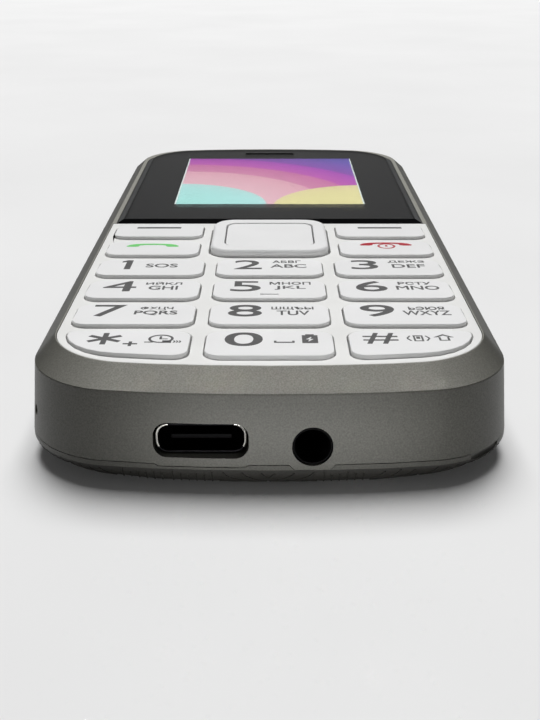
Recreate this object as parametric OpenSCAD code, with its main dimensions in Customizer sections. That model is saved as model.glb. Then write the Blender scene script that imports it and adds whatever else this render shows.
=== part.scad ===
// Candybar feature phone with a keypad and a small screen, lying on its back.
// +Z points out of the screen and -Y is the end with the ports.
// The origin is on the flat of the back, under the middle of the phone.

/* [Keypad] */
// Width of a digit key
key_w = 13.3; // [12.8:0.1:14.6]
// Length of a key, along the phone
key_l = 7.6; // [7:0.1:8.6]
// Extra length of the keys in the lowest row
low_extra = 0.4; // [0:0.1:1]
// Gap between two key columns
col_gap = 1.7; // [1.2:0.05:2]
// Gap between two key rows
row_gap = 1.24; // [1:0.02:2]
// Corner radius of a key
key_r = 1.8; // [1:0.1:2.4]
// Height of a key's near edge above the plate
key_near_h = 0.45; // [0.3:0.05:0.8]
// Height of a key's far edge above the plate
key_far_h = 0.12; // [0.08:0.02:0.24]
// Chamfer around the top of a key
key_edge = 0.15; // [0.05:0.05:0.25]
// Gap between a key and its hole in the plate
key_fit = 0.12; // [0.08:0.01:0.2]
// How far a key goes down
key_travel = 0.4; // [0.2:0.05:0.6]
// Width of the flange that keeps a key under the plate
flange_w = 0.35; // [0.25:0.05:0.45]
// Thickness of that flange
flange_t = 0.6; // [0.4:0.05:0.9]
// Length of the stem under a key
stem_h = 0.7; // [0.4:0.1:1.2]
// Radius of the stem under a key
stem_r = 1.6; // [1.2:0.1:2.2]
// Plate left beside the outer keys
side_margin = 1.2; // [1.2:0.1:2.2]
// Plate left in front of the lowest row
near_margin = 1.6; // [1.4:0.1:2.4]
// Thickness of the white plate around the keys
plate_t = 1.2; // [0.9:0.05:1.6]
// Width of the ledge under the plate's rim
ledge_w = 0.55; // [0.5:0.05:0.6]
// Thickness of the ledges that carry the plate and the lens
ledge_t = 1; // [0.7:0.1:1.2]

/* [Navigation key] */
// Width of the navigation ring
nav_w = 15.75; // [14.5:0.05:17]
// Length of the navigation ring
nav_l = 16.05; // [14.8:0.05:16.4]
// Corner radius of the navigation ring
nav_r = 3; // [2:0.1:4]
// Height of the ring above the plate
nav_h = 1; // [0.7:0.05:1.4]
// Rounding of the ring's upper edge
nav_edge = 0.45; // [0.2:0.05:0.6]
// Gap between the ring and its hole in the plate
nav_fit = 0.3; // [0.24:0.01:0.4]
// Gap between the ring and the keys beside it
nav_gap = 1.55; // [1.05:0.05:1.8]
// Room for the ring to tip over its base, and for the base under the plate
nav_room = 0.45; // [0.42:0.01:0.6]
// Thickness of the rubber base under the ring
nav_base_t = 0.5; // [0.4:0.05:0.6]
// Width of the pad inside the ring
pad_w = 11.7; // [10.4:0.1:12.2]
// Length of the pad inside the ring
pad_l = 11.4; // [10.4:0.1:12.4]
// Corner radius of the pad
pad_r = 1.5; // [1:0.1:2]
// Gap between the pad and the ring
pad_fit = 0.22; // [0.18:0.01:0.3]
// How far the pad lies below the top of the ring
pad_drop = 0.25; // [0.15:0.05:0.4]

/* [Screen] */
// Width of the picture
view_w = 30; // [27:0.5:32]
// Length of the picture
view_l = 35; // [32:0.5:40]
// Lens below the picture
lens_near = 10.85; // [10.4:0.05:14]
// Lens above the picture
lens_far = 7.7; // [7.4:0.1:9]
// Plate between the upper keys and the lens
lens_gap = 1.1; // [1.1:0.1:2.4]
// Thickness of the lens
lens_t = 1.2; // [0.9:0.05:1.5]
// Height of the lens above the shell
lens_proud = 0.5; // [0.3:0.05:0.7]
// Shell left beside the lens
lens_side = 0.55; // [0.4:0.05:0.9]
// Shell left past the far end of the lens
lens_land = 2.05; // [1.6:0.05:3]
// Width of the slope along the sides of the lens
bevel_x = 1.5; // [0.8:0.1:2]
// Width of the slope along the ends of the lens
bevel_y = 0.7; // [0.4:0.1:1.2]
// Gap around the lens and the plate
trim_fit = 0.06; // [0.04:0.01:0.1]
// Thickness of the tape under the lens
tape_t = 0.15; // [0.1:0.01:0.25]
// Width of the tape under the lens
tape_w = 1.8; // [1.2:0.1:2.2]
// Rim of the display panel beside the picture
lcd_rim = 2.2; // [1.6:0.1:2.6]
// Rim of the display panel above the picture
lcd_far = 1.3; // [1:0.1:1.6]
// Rim of the display panel below the picture
lcd_near = 6; // [4.5:0.1:7]
// Thickness of the display glass
panel_t = 0.8; // [0.6:0.05:1]
// Length of the earpiece slot
slot_w = 9.1; // [7:0.1:10]
// Height of the earpiece slot
slot_l = 1.2; // [0.8:0.1:1.5]
// Middle of the earpiece slot from the picture
slot_up = 2.85; // [2.8:0.05:3.4]

/* [Shell] */
// Height of the line where cover and front shell meet
cover_h = 3.15; // [2.9:0.05:3.4]
// Width of the slope along the sides of the front shell
chamfer_x = 1.85; // [1.6:0.05:2.4]
// Width of the slope at the ends of the front shell
chamfer_y = 2.85; // [2.4:0.05:3.4]
// Height of that slope
chamfer_h = 1.8; // [1.2:0.1:2.2]
// Width of the flat rim at the top of the slope
rim_w = 0.15; // [0.1:0.05:0.3]
// Slant of the walls, in degrees
draft = 4.1; // [2:0.1:6]
// Radius of the bowed ends
end_bow = 150; // [120:5:220]
// Radius of the bowed ends of the plate
deck_bow = 130; // [110:5:200]
// Corner radius of the shell
corner_r = 9.5; // [8.5:0.1:10.5]
// Corner radius of the plate
deck_r = 9; // [8:0.1:10]
// Thickness of the walls
wall_t = 1.5; // [1.3:0.05:1.7]
// Thickness of the cover's floor
cover_t = 1.2; // [1:0.05:1.5]
// Thickness of the cover's rim
cover_rim_t = 1.35; // [1.1:0.05:1.6]
// How far the rounded edge of the cover reaches inward
belly_x = 4.2; // [3.4:0.1:5]
// Height of the plain lip along the cover's upper edge
lip_h = 0.55; // [0.4:0.05:0.8]
// Gap between cover and front shell
cover_fit = 0.08; // [0.05:0.01:0.12]
// Thickness of a snap tab on the cover
tab_t = 0.7; // [0.5:0.05:0.75]
// Width of a snap tab
tab_w = 5; // [3:0.5:8]
// Height of a snap tab inside the front shell
tab_h = 1.25; // [0.8:0.05:1.8]
// Radius of the fingernail notch
notch_r = 0.75; // [0.5:0.05:0.9]
// Length of the fingernail notch
notch_l = 4.6; // [3:0.1:6]

/* [Ports] */
// Width of the USB shell
usb_w = 9.15; // [8.9:0.05:9.6]
// Height of the USB shell
usb_h = 3.25; // [3.1:0.05:3.5]
// Length of the USB shell
usb_l = 7.3; // [6.5:0.1:8.5]
// Thickness of the USB shell
usb_t = 0.3; // [0.2:0.05:0.4]
// Side position of the USB socket
usb_x = -6.8; // [-8:0.1:-6.5]
// Middle of the USB socket below the board
usb_drop = 2.23; // [2.1:0.01:2.35]
// How far the USB socket's mouth lies inside the shell's edge
usb_in = 0.5; // [0.3:0.05:0.7]
// Gap around the USB shell
usb_fit = 0.2; // [0.1:0.02:0.3]
// Thickness of the tongue in the USB socket
tongue_t = 0.7; // [0.6:0.05:0.8]
// Width of that tongue
tongue_w = 6.75; // [6.5:0.05:6.9]
// How far the tongue lies inside the socket
tongue_in = 0.7; // [0.5:0.05:1]
// Radius of the headphone socket's bore
jack_r = 1.8; // [1.78:0.01:1.9]
// Length of that bore
jack_l = 12; // [11:0.5:14]
// Side position of the headphone socket
jack_x = 4.3; // [3.8:0.1:6]
// Middle of the bore below the board
jack_drop = 2.8; // [2.6:0.05:3]
// Plastic around the bore
jack_wall = 0.95; // [0.7:0.05:1.1]
// Plastic past the end of the bore
jack_end = 1.2; // [0.8:0.1:1.5]
// Thickness of the socket's nose, which fills the hole in the shell
nose_t = 0.2; // [0.15:0.01:0.25]
// How far that nose lies inside the wall
nose_in = 0.2; // [0.15:0.01:0.4]
// Radius of the microphone hole
mic_hole_r = 0.6; // [0.4:0.05:0.8]
// Radius of the microphone
mic_r = 1.5; // [1.3:0.1:1.7]
// Thickness of the microphone
mic_t = 1.5; // [1.1:0.1:2]
// Wall of the rubber boot around the microphone
boot_t = 0.5; // [0.4:0.05:0.7]
// Direction of the microphone from the side, in degrees
mic_turn = 20; // [12:1:28]

/* [Inside] */
// Width of the battery
battery_w = 34.5; // [32:0.5:35.5]
// Length of the battery
battery_l = 52; // [48:0.5:56]
// Thickness of the battery
battery_t = 4.7; // [4.3:0.1:5.5]
// Roof of the battery bay
roof_t = 0.6; // [0.5:0.05:0.9]
// Room for parts under the board
under_h = 1.2; // [1.1:0.05:1.6]
// Thickness of the main board
board_t = 0.9; // [0.7:0.05:1.2]
// Radius of a dome switch
dome_r = 2; // [1.6:0.1:2.5]
// Height of a dome switch
dome_h = 0.25; // [0.2:0.01:0.35]
// Thickness of the keypad mat
mat_t = 0.3; // [0.2:0.05:0.5]
// Gap between parts that lie on each other
seat_gap = 0.05; // [0.03:0.01:0.08]
// Radius of the loudspeaker
speaker_r = 7.5; // [6.5:0.25:8.5]
// Thickness of the loudspeaker
speaker_t = 3; // [2.5:0.1:3.4]
// Width of the slots in the cover below it
grille_w = 9; // [6:0.5:11]
// Length of such a slot, and of the bar beside it
grille_l = 1; // [0.8:0.05:1.2]
// Radius of the vibration motor
motor_r = 4; // [3.5:0.1:5]
// Thickness of the vibration motor
motor_t = 2.7; // [2.2:0.1:3]
// Width of the earpiece speaker
receiver_w = 11; // [10:0.5:13]
// Length of the earpiece speaker
receiver_l = 5.2; // [4.5:0.1:5.4]
// Thickness of the earpiece speaker
receiver_t = 2.3; // [1.9:0.1:2.4]
// Width of a card socket
card_w = 15; // [14:0.5:16]
// Length of a card socket
card_l = 13.5; // [12:0.5:15]
// Width of the shield can
can_w = 19; // [15:0.5:21]
// Length of the shield can
can_l = 20.8; // [16:0.2:22]
// Width of the display's flex
flex_w = 13.8; // [10:0.2:18]
// Length of the display's flex
flex_l = 11; // [8:0.5:13]
// How far the flex reaches out from under the display
flex_out = 4; // [3:0.1:4.6]
// Width of the antenna
antenna_w = 26.8; // [20:0.2:32]
// Length of the antenna
antenna_l = 8; // [6:0.5:10]
// Width of a strip of the antenna
antenna_leg = 3; // [2:0.1:3.5]
// Width of the battery contacts
contact_w = 9; // [7:0.5:12]
// Length of the battery contacts
contact_l = 3; // [2.5:0.1:4]
// Gap between two battery contacts
contact_gap = 1; // [0.6:0.1:1.4]
// Radius of a screw
screw_r = 0.6; // [0.5:0.05:0.7]
// Radius of a screw's head
head_r = 1.2; // [1.1:0.05:1.3]
// Thickness of a screw's head
head_t = 0.8; // [0.6:0.05:1.1]
// Radius of a screw boss
boss_r = 1.6; // [1.4:0.05:1.8]

/* [Hidden] */
$fn = 48;
// Thickness of the slices that a blended form is hulled from
sliver = 0.02;
// Depth by which a cut passes the face it opens
through = 1;
// Straight pieces in a corner of the shell, in a bowed end and in a corner of a key
corner_n = 10;
bow_n = 12;
round_n = 6;
rows = 6;
digit_rows = 4;
side_rows = 2;
columns = 3;
grille_n = 5;

// Widths, built up from the keys or from what lies inside
keypad_hw = columns * key_w / 2 + col_gap;
inside_hw = max(battery_w, view_w + 2 * lcd_rim) / 2;
boss_in = boss_r + 0.85;
shell_to_wall = rim_w + chamfer_x - wall_t;
open_hw = max(keypad_hw + side_margin, inside_hw + 2 * boss_r + 1.6 - shell_to_wall);
edge_hw = open_hw + rim_w + chamfer_x;
inner_hw = edge_hw - wall_t;

// Lengths, built up from the rows of keys and the lens
row_pitch = key_l + row_gap;
lens_l = lens_near + view_l + lens_far;
keys_len = rows * row_pitch - row_gap + low_extra;
open_hl = (near_margin + keys_len + lens_gap + lens_l + lens_land) / 2;
edge_hl = open_hl + rim_w + chamfer_y;
inner_hl = edge_hl - wall_t;
lens_y = -open_hl + near_margin + keys_len + lens_gap;
lens_end = lens_y + lens_l;
view_y = lens_y + lens_near;
slot_y = view_y + view_l + slot_up;

// Heights, from the cover up to the deck
battery_z = cover_t + 2 * seat_gap;
bay_z = battery_z + battery_t + 2 * seat_gap;
under_z = bay_z + roof_t;
board_z = under_z + under_h;
board_top = board_z + board_t;
dome_z = board_top + seat_gap / 2;
mat_z = dome_z + dome_h + seat_gap;
mat_top = mat_z + mat_t;
stem_z = mat_top + key_travel + seat_gap;
flange_z = stem_z + stem_h;
plate_z = flange_z + flange_t + seat_gap;
deck_z = plate_z + plate_t;
edge_z = deck_z - chamfer_h;
ceiling_z = plate_z - ledge_t;
lens_z = deck_z + lens_proud - lens_t;
tape_z = lens_z - tape_t;
boss_top = flange_z - key_travel - 2 * seat_gap;

// Navigation key
nav_y = (row_y(digit_rows) + row_y(rows - 1)) / 2;
nav_base_z = plate_z - nav_room - nav_base_t;
nav_z = nav_base_z + nav_base_t + nav_room;
nav_top = deck_z + nav_h;
side_in = nav_w / 2 + nav_gap;
side_w = keypad_hw - side_in;

// Display
lcd_w = view_w + 2 * lcd_rim;
lcd_l = view_l + lcd_near + lcd_far;
lcd_y = view_y - lcd_near;
panel_z = tape_z - panel_t;
light_z = board_top + 0.2;

// Shell
draft_d = (edge_z - cover_h) * tan(draft);
belly_z = cover_h - lip_h;
tab_x = inner_hw - 2 * cover_fit;
chassis_in = tab_t + 4 * cover_fit;
chassis_hw = inner_hw - chassis_in;
chassis_hl = inner_hl - chassis_in;
chassis_z = cover_t + 0.3;
chassis_step = cover_h - 0.25;
belly_in = belly_x + cover_rim_t;
boss_x = inner_hw - boss_in;
boss_end = inner_hl - 10.7;
screw_seat = board_z - 2.3;
boss_ys = [-boss_end, lens_y - lens_gap, boss_end];

// Ports
usb_z = board_z - usb_drop;
usb_y = -edge_hl + usb_in;
jack_z = board_z - jack_drop;
jack_y = -inner_hl + 0.4;
jack_hw = jack_r + jack_wall;
jack_hole_r = jack_r + nose_t + seat_gap;
nose_y = -edge_hl - (edge_z - jack_z) * tan(draft) + nose_in;
mic_c = corner_at(edge_hw, edge_hl, corner_r, end_bow);
mic_z = board_z - mic_r - boot_t - 2 * seat_gap;
mic_start = sqrt(pow(corner_r - wall_t, 2) - pow(mic_r + boot_t, 2)) - 0.1;
dip_slope = 0.45;
usb_dip = 0.27;
jack_dip = 0.57;

// Inside
battery_y = jack_y + jack_l + 2.6;
battery_end = battery_y + battery_l;
speaker_y = battery_end + contact_l + speaker_r + 2.4;
motor_y = speaker_y + speaker_r + motor_r + 3.5;
motor_x = chassis_hw - motor_r - 5.5;
can_end = chassis_hl - 3.4;
can_x = -boss_x + head_r + 1.3;
antenna_end = chassis_hl - 6;

// Length and middle of a row of keys, and middle of a column
function row_l(r) = key_l + (r == 0 ? low_extra : 0);
function row_y(r) = -open_hl + near_margin + low_extra + r * row_pitch + key_l - row_l(r) / 2;
function col_x(c) = (c - 1) * (key_w + col_gap);

// Points along an arc
function arc(c, r, a0, a1, n) = [for (i = [0 : n]) c + r * [cos(a0 + (a1 - a0) * i / n), sin(a0 + (a1 - a0) * i / n)]];

// Middle of the far right corner of an outline whose ends are bowed
function corner_at(hw, hl, r, bow) = [hw - r, hl - bow + sqrt(pow(bow - r, 2) - pow(hw - r, 2))];

// Far half of that outline, and all of it
function far_half(hw, hl, r, bow) =
    let (c = corner_at(hw, hl, r, bow), o = [0, hl - bow], a = atan2(c.y - o.y, c.x))
    concat(
        arc(c, r, 0, a, corner_n),
        [for (i = [1 : bow_n - 1]) arc(o, bow, a, 180 - a, bow_n)[i]],
        arc([-c.x, c.y], r, 180 - a, 180, corner_n)
    );
function bowed(hw, hl, r, bow) =
    let (half = far_half(hw, hl, r, bow))
    concat(half, [for (p = half) -p]);

// Rounded rectangle about the origin
function rounded(w, l, r) =
    let (x = w / 2 - r, y = l / 2 - r)
    concat(
        arc([x, y], r, 0, 90, round_n),
        arc([-x, y], r, 90, 180, round_n),
        arc([-x, -y], r, 180, 270, round_n),
        arc([x, -y], r, 270, 360, round_n)
    );

// Outline of the shell's edge, moved outward by d
function shell_points(d) = bowed(edge_hw + d, edge_hl + d, corner_r + d, end_bow + d);

// Outline of the deck's opening, moved inward by x at the sides and y at the ends
function deck_points(x, y) = bowed(open_hw - x, open_hl - y, deck_r - x, deck_bow - x);

// Solid through a stack of outlines that have the same number of points, lowest first
module loft(outlines, heights) {
    n = len(outlines[0]);
    last = len(outlines) - 1;
    points = [for (i = [0 : last], p = outlines[i]) [p.x, p.y, heights[i]]];
    sides = [for (i = [0 : last - 1], j = [0 : n - 1], k = [0, 1])
        k == 0
            ? [i * n + j, i * n + n + j, i * n + n + (j + 1) % n]
            : [i * n + j, i * n + n + (j + 1) % n, i * n + (j + 1) % n]];
    floor_face = [for (j = [0 : n - 1]) j];
    roof_face = [for (j = [n - 1 : -1 : 0]) last * n + j];
    polyhedron(points, concat([floor_face], sides, [roof_face]));
}

module shell_2d(d) {
    polygon(shell_points(d));
}

module deck_2d(x, y) {
    polygon(deck_points(x, y));
}

module slice(z) {
    translate([0, 0, z])
        linear_extrude(sliver) children();
}

module prism(z0, z1) {
    translate([0, 0, z0])
        linear_extrude(z1 - z0) children();
}

// Everything on one side of a line across the phone
module half_2d(y, side) {
    translate([-2 * edge_hw, side > 0 ? y : y - 4 * edge_hl])
        square([4 * edge_hw, 4 * edge_hl]);
}

module plate_2d(fit) {
    intersection() {
        deck_2d(fit, fit);
        half_2d(lens_y - trim_fit - fit, -1);
    }
}

module lens_2d(x, y) {
    intersection() {
        deck_2d(lens_side + x, lens_land + y);
        half_2d(lens_y + y, 1);
    }
}

module lcd_2d(grow) {
    translate([-lcd_w / 2 - grow, lcd_y - grow])
        square([lcd_w + 2 * grow, lcd_l + 2 * grow]);
}

module slot_2d(grow) {
    translate([0, slot_y])
        polygon(rounded(slot_w + 2 * grow, slot_l + 2 * grow, slot_l / 2 + grow - sliver));
}

// Outline of a digit key; the outer keys of the lowest row follow the shell
module digit_2d(r, c, grow) {
    intersection() {
        translate([col_x(c), row_y(r)])
            polygon(rounded(key_w + 2 * grow, row_l(r) + 2 * grow, key_r + grow));
        if (r == 0 && c != 1)
            deck_2d(side_margin - grow, near_margin - grow);
        else
            half_2d(-open_hl, 1);
    }
}

// Outline of a key beside the navigation ring
module side_2d(r, side, grow) {
    translate([side * (side_in + side_w / 2), row_y(r)])
        polygon(rounded(side_w + 2 * grow, key_l + 2 * grow, key_r + grow));
}

module nav_2d(grow) {
    translate([0, nav_y])
        polygon(rounded(nav_w + 2 * grow, nav_l + 2 * grow, nav_r + grow));
}

module pad_2d(grow) {
    translate([0, nav_y])
        polygon(rounded(pad_w + 2 * grow, pad_l + 2 * grow, pad_r + grow));
}

// Cap of a key: a wedge whose near edge stands proud, from its outline and its inset outline
module cap(x, y) {
    tip = atan((key_near_h - key_far_h) / key_l);
    mid = deck_z + (key_near_h + key_far_h) / 2;
    hull() {
        slice(flange_z) children(0);
        translate([x, y, mid - key_edge])
            rotate([-tip, 0, 0])
                translate([-x, -y, 0]) linear_extrude(sliver) children(0);
        translate([x, y, mid - sliver])
            rotate([-tip, 0, 0])
                translate([-x, -y, 0]) linear_extrude(sliver) children(1);
    }
}

module stem(x, y) {
    translate([x, y, stem_z])
        cylinder(r = stem_r, h = stem_h + flange_t / 2);
}

module digit_key(r, c) {
    x = col_x(c);
    y = row_y(r);
    color("#ebebe8") {
        cap(x, y) {
            digit_2d(r, c, 0);
            digit_2d(r, c, -key_edge);
        }
        prism(flange_z, flange_z + flange_t) digit_2d(r, c, flange_w);
        stem(x, y);
    }
}

module side_key(r, side) {
    x = side * (side_in + side_w / 2);
    y = row_y(r);
    color("#ebebe8") {
        cap(x, y) {
            side_2d(r, side, 0);
            side_2d(r, side, -key_edge);
        }
        prism(flange_z, flange_z + flange_t) side_2d(r, side, flange_w);
        stem(x, y);
    }
}

module at_bosses() {
    for (s = [-1, 1], y = boss_ys)
        translate([s * boss_x, y, 0]) children();
}

// Outer form of the front shell: slanted walls and the slope up to the deck
module housing_form() {
    loft(
        [shell_points(draft_d), shell_points(0), deck_points(-rim_w, -rim_w)],
        [cover_h + cover_fit / 2, edge_z, deck_z]
    );
}

// Outer form of the cover: a plain lip over a rounded edge
module cover_form() {
    turns = [90 : -15 : 0];
    loft(
        concat([for (a = turns) shell_points(draft_d - belly_x * (1 - cos(a)))], [shell_points(draft_d)]),
        concat([for (a = turns) belly_z * (1 - sin(a))], [cover_h - cover_fit / 2])
    );
}

module cover_hollow() {
    inside = shell_points(draft_d - cover_rim_t);
    loft(
        [shell_points(draft_d - belly_in), inside, inside],
        [cover_t, belly_z, cover_h + through]
    );
}

// The front shell reaches lower under the two sockets, with slanted ends
module port_dip(x, half, drop, grow) {
    translate([x, -inner_hl - 2 * cover_fit + grow, 0])
        rotate([90, 0, 0])
            linear_extrude(3 * wall_t)
                polygon([
                    [-half - dip_slope - grow, cover_h + cover_fit],
                    [-half - grow, cover_h - drop - grow],
                    [half + grow, cover_h - drop - grow],
                    [half + dip_slope + grow, cover_h + cover_fit]
                ]);
}

module port_dips(grow) {
    port_dip(usb_x, usb_w / 2 - usb_t, usb_dip, grow);
    port_dip(jack_x, jack_r, jack_dip, grow);
}

module stadium_y(w, h, l) {
    rotate([-90, 0, 0])
        linear_extrude(l) polygon(rounded(w, h, h / 2 - sliver));
}

module at_mic() {
    translate([-mic_c.x, -mic_c.y, mic_z])
        rotate([0, 0, 180 + mic_turn])
            rotate([0, 90, 0]) children();
}

module front_housing() {
    color("#7d7c78") {
        difference() {
            union() {
                housing_form();
                intersection() {
                    prism(cover_h - through, cover_h + cover_fit) shell_2d(draft_d - sliver);
                    port_dips(0);
                }
            }
            prism(cover_h - through, ceiling_z) shell_2d(-wall_t);
            prism(plate_z, deck_z + through) plate_2d(0);
            prism(ceiling_z - through, deck_z) plate_2d(ledge_w);
            prism(tape_z, deck_z + through) lens_2d(-trim_fit, -trim_fit);
            prism(ceiling_z - through, deck_z) lcd_2d(0.25);
            prism(ceiling_z - through, board_top + receiver_t + 0.3) receiver_2d(0.2);
            prism(ceiling_z, deck_z) slot_2d(0);
            prism(tape_z - 0.15, deck_z) slot_2d(0.65);
            translate([usb_x, -edge_hl - 2 * wall_t, usb_z])
                stadium_y(usb_w + 2 * usb_fit, usb_h + 2 * usb_fit, 4 * wall_t);
            translate([jack_x, -edge_hl + 2 * wall_t, jack_z])
                rotate([90, 0, 0]) cylinder(r = jack_hole_r, h = 4 * wall_t);
            at_mic()
                cylinder(r = mic_hole_r, h = corner_r + 2 * wall_t);
        }
        difference() {
            for (s = [-1, 1], y = boss_ys)
                translate([s * boss_x, y, 0])
                    union() {
                        translate([0, 0, board_top + seat_gap])
                            cylinder(r = boss_r, h = boss_top - board_top - seat_gap);
                        translate([s > 0 ? 0 : -boss_in - wall_t / 2, -boss_r / 2, board_top + seat_gap])
                            cube([boss_in + wall_t / 2, boss_r, boss_top - board_top - seat_gap]);
                    }
            at_bosses()
                translate([0, 0, board_top - through])
                    cylinder(r = screw_r + seat_gap, h = boss_top - board_top + through - 0.1);
        }
    }
}

module receiver_2d(grow) {
    translate([-receiver_w / 2 - grow, slot_y - slot_l - grow])
        square([receiver_w + 2 * grow, receiver_l + 2 * grow]);
}

module keypad_plate() {
    color("#e6e6e3")
        prism(plate_z, deck_z)
            difference() {
                plate_2d(trim_fit);
                for (r = [0 : digit_rows - 1], c = [0 : columns - 1])
                    digit_2d(r, c, key_fit);
                for (r = [digit_rows : rows - 1], side = [-1, 1])
                    side_2d(r, side, key_fit);
                nav_2d(nav_fit);
            }
}

module display_lens() {
    color("#2b2c2e")
        difference() {
            hull() {
                slice(lens_z) lens_2d(0, 0);
                slice(deck_z) lens_2d(0, 0);
                slice(deck_z + lens_proud - sliver) lens_2d(bevel_x, bevel_y);
            }
            prism(lens_z - through, deck_z + 2 * lens_proud) slot_2d(0);
        }
}

module lens_tape() {
    color("#303030")
        prism(tape_z + seat_gap / 4, lens_z - seat_gap / 4)
            difference() {
                lens_2d(trim_fit, trim_fit);
                intersection() {
                    lens_2d(tape_w, tape_w);
                    half_2d(lcd_y + lcd_l + 2 * seat_gap, -1);
                }
                slot_2d(0.7);
            }
}

module earpiece_mesh() {
    color("#3a3a3a")
        prism(tape_z - 0.13, tape_z) slot_2d(0.55);
}

module key_1() { digit_key(3, 0); }
module key_2() { digit_key(3, 1); }
module key_3() { digit_key(3, 2); }
module key_4() { digit_key(2, 0); }
module key_5() { digit_key(2, 1); }
module key_6() { digit_key(2, 2); }
module key_7() { digit_key(1, 0); }
module key_8() { digit_key(1, 1); }
module key_9() { digit_key(1, 2); }
module key_star() { digit_key(0, 0); }
module key_0() { digit_key(0, 1); }
module key_hash() { digit_key(0, 2); }
module call_key() { side_key(4, -1); }
module end_key() { side_key(4, 1); }
module soft_key_left() { side_key(5, -1); }
module soft_key_right() { side_key(5, 1); }

module nav_ring() {
    color("#ededea")
        difference() {
            hull() {
                slice(nav_z) nav_2d(0);
                slice(nav_top - nav_edge) nav_2d(0);
                slice(nav_top - nav_edge * 0.3) nav_2d(-nav_edge * 0.35);
                slice(nav_top - sliver) nav_2d(-nav_edge);
            }
            prism(nav_z - through, nav_top + through) pad_2d(pad_fit);
        }
}

module nav_base() {
    color("#c9c9c6")
        difference() {
            prism(nav_base_z, nav_base_z + nav_base_t) nav_2d(flange_w);
            prism(nav_base_z - through, nav_z) pad_2d(2 * pad_fit);
        }
}

module ok_key() {
    color("#ededea") {
        hull() {
            slice(nav_z) pad_2d(0);
            slice(nav_top - pad_drop - key_edge) pad_2d(0);
            slice(nav_top - pad_drop - sliver) pad_2d(-key_edge);
        }
        translate([0, nav_y, stem_z])
            cylinder(r = stem_r, h = nav_z - stem_z + sliver);
    }
}

// Places of the switches: one under each key, one under the pad and four under the ring
module at_switches() {
    for (r = [0 : digit_rows - 1], c = [0 : columns - 1])
        translate([col_x(c), row_y(r), 0]) children();
    for (r = [digit_rows : rows - 1], side = [-1, 1])
        translate([side * (side_in + side_w / 2), row_y(r), 0]) children();
    translate([0, nav_y, 0]) {
        children();
        for (a = [0 : 90 : 270])
            rotate([0, 0, a]) translate([nav_w / 2 - dome_r * 0.6, 0, 0]) children();
    }
}

module key_mat() {
    mat_hw = boss_x - boss_r - 0.3;
    mat_y = -open_hl + near_margin;
    color("#d4d6d4")
        translate([-mat_hw, mat_y, mat_z])
            cube([2 * mat_hw, keys_len, mat_t]);
}

module dome_switches() {
    color("#c8c8c4")
        at_switches()
            translate([0, 0, dome_z])
                cylinder(r1 = dome_r, r2 = dome_r * 0.55, h = dome_h);
}

module main_board() {
    color("#1f5a3c")
        difference() {
            prism(board_z, board_top) shell_2d(-wall_t - 0.4);
            at_bosses()
                translate([0, 0, board_z - through])
                    cylinder(r = screw_r + 0.25, h = board_t + 2 * through);
        }
}

module shield_can() {
    color("#b9babb")
        translate([can_x, can_end - can_l, under_z + 2 * seat_gap])
            cube([can_w, can_l, under_h - 3 * seat_gap]);
}

// Two card sockets side by side, and a third above them
module card_sockets() {
    color("#c3c4c4")
        for (p = [[-card_w - 0.6, 3], [0.6, 3], [0.6, card_l + 4.5]])
            translate([p.x, battery_y + p.y, under_z + 2 * seat_gap])
                difference() {
                    cube([card_w, card_l, under_h - 3 * seat_gap]);
                    translate([1.2, -1, -through])
                        cube([card_w - 2.4, card_l - 1, through + under_h * 0.45]);
                }
}

module lcd_panel() {
    color("#9bb7bd")
        prism(panel_z, panel_z + panel_t) lcd_2d(0);
}

module lcd_backlight() {
    color("#d9dad8")
        prism(light_z, panel_z - seat_gap) lcd_2d(0);
}

module lcd_flex() {
    color("#b6762a")
        translate([-flex_w / 2, lcd_y - flex_out, board_top + seat_gap / 2])
            cube([flex_w, flex_l, 0.12]);
}

module earpiece_speaker() {
    color("#4a4a4a")
        prism(board_top + 0.1, board_top + 0.1 + receiver_t) receiver_2d(0);
}

// Rolled steel shell with four legs up to the board
module usb_shell() {
    leg_l = 1.2;
    color("#c4c6c8")
        translate([usb_x, usb_y, usb_z]) {
            difference() {
                stadium_y(usb_w, usb_h, usb_l);
                translate([0, -through, 0])
                    stadium_y(usb_w - 2 * usb_t, usb_h - 2 * usb_t, usb_l + 2 * through);
            }
            for (s = [-1, 1], y = [usb_l * 0.28, usb_l * 0.72])
                translate([s > 0 ? usb_w / 2 - usb_t : -usb_w / 2, y, 0])
                    cube([usb_t, leg_l, usb_drop - seat_gap]);
        }
}

module usb_tongue() {
    fit = usb_t + seat_gap;
    plug_l = 1.5;
    plug_y = usb_l - plug_l - 2 * seat_gap;
    color("#1d1d1f")
        translate([usb_x, usb_y, usb_z]) {
            translate([0, plug_y, 0])
                stadium_y(usb_w - 2 * fit, usb_h - 2 * fit, plug_l);
            translate([-tongue_w / 2, tongue_in, -tongue_t / 2])
                cube([tongue_w, plug_y + plug_l / 2 - tongue_in, tongue_t]);
        }
}

module audio_jack() {
    color("#202022")
        difference() {
            union() {
                translate([jack_x - jack_hw, jack_y, jack_z - jack_hw])
                    cube([2 * jack_hw, jack_l + jack_end, jack_hw + jack_drop - seat_gap]);
                translate([jack_x, jack_y + through, jack_z])
                    rotate([90, 0, 0]) cylinder(r = jack_r + nose_t, h = jack_y + through - nose_y);
            }
            translate([jack_x, jack_y + jack_l, jack_z])
                rotate([90, 0, 0]) cylinder(r = jack_r, h = jack_y + jack_l - nose_y + through);
        }
}

module microphone() {
    color("#b8b9ba")
        at_mic()
            translate([0, 0, mic_start - mic_t - boot_t - seat_gap])
                cylinder(r = mic_r, h = mic_t);
}

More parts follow.
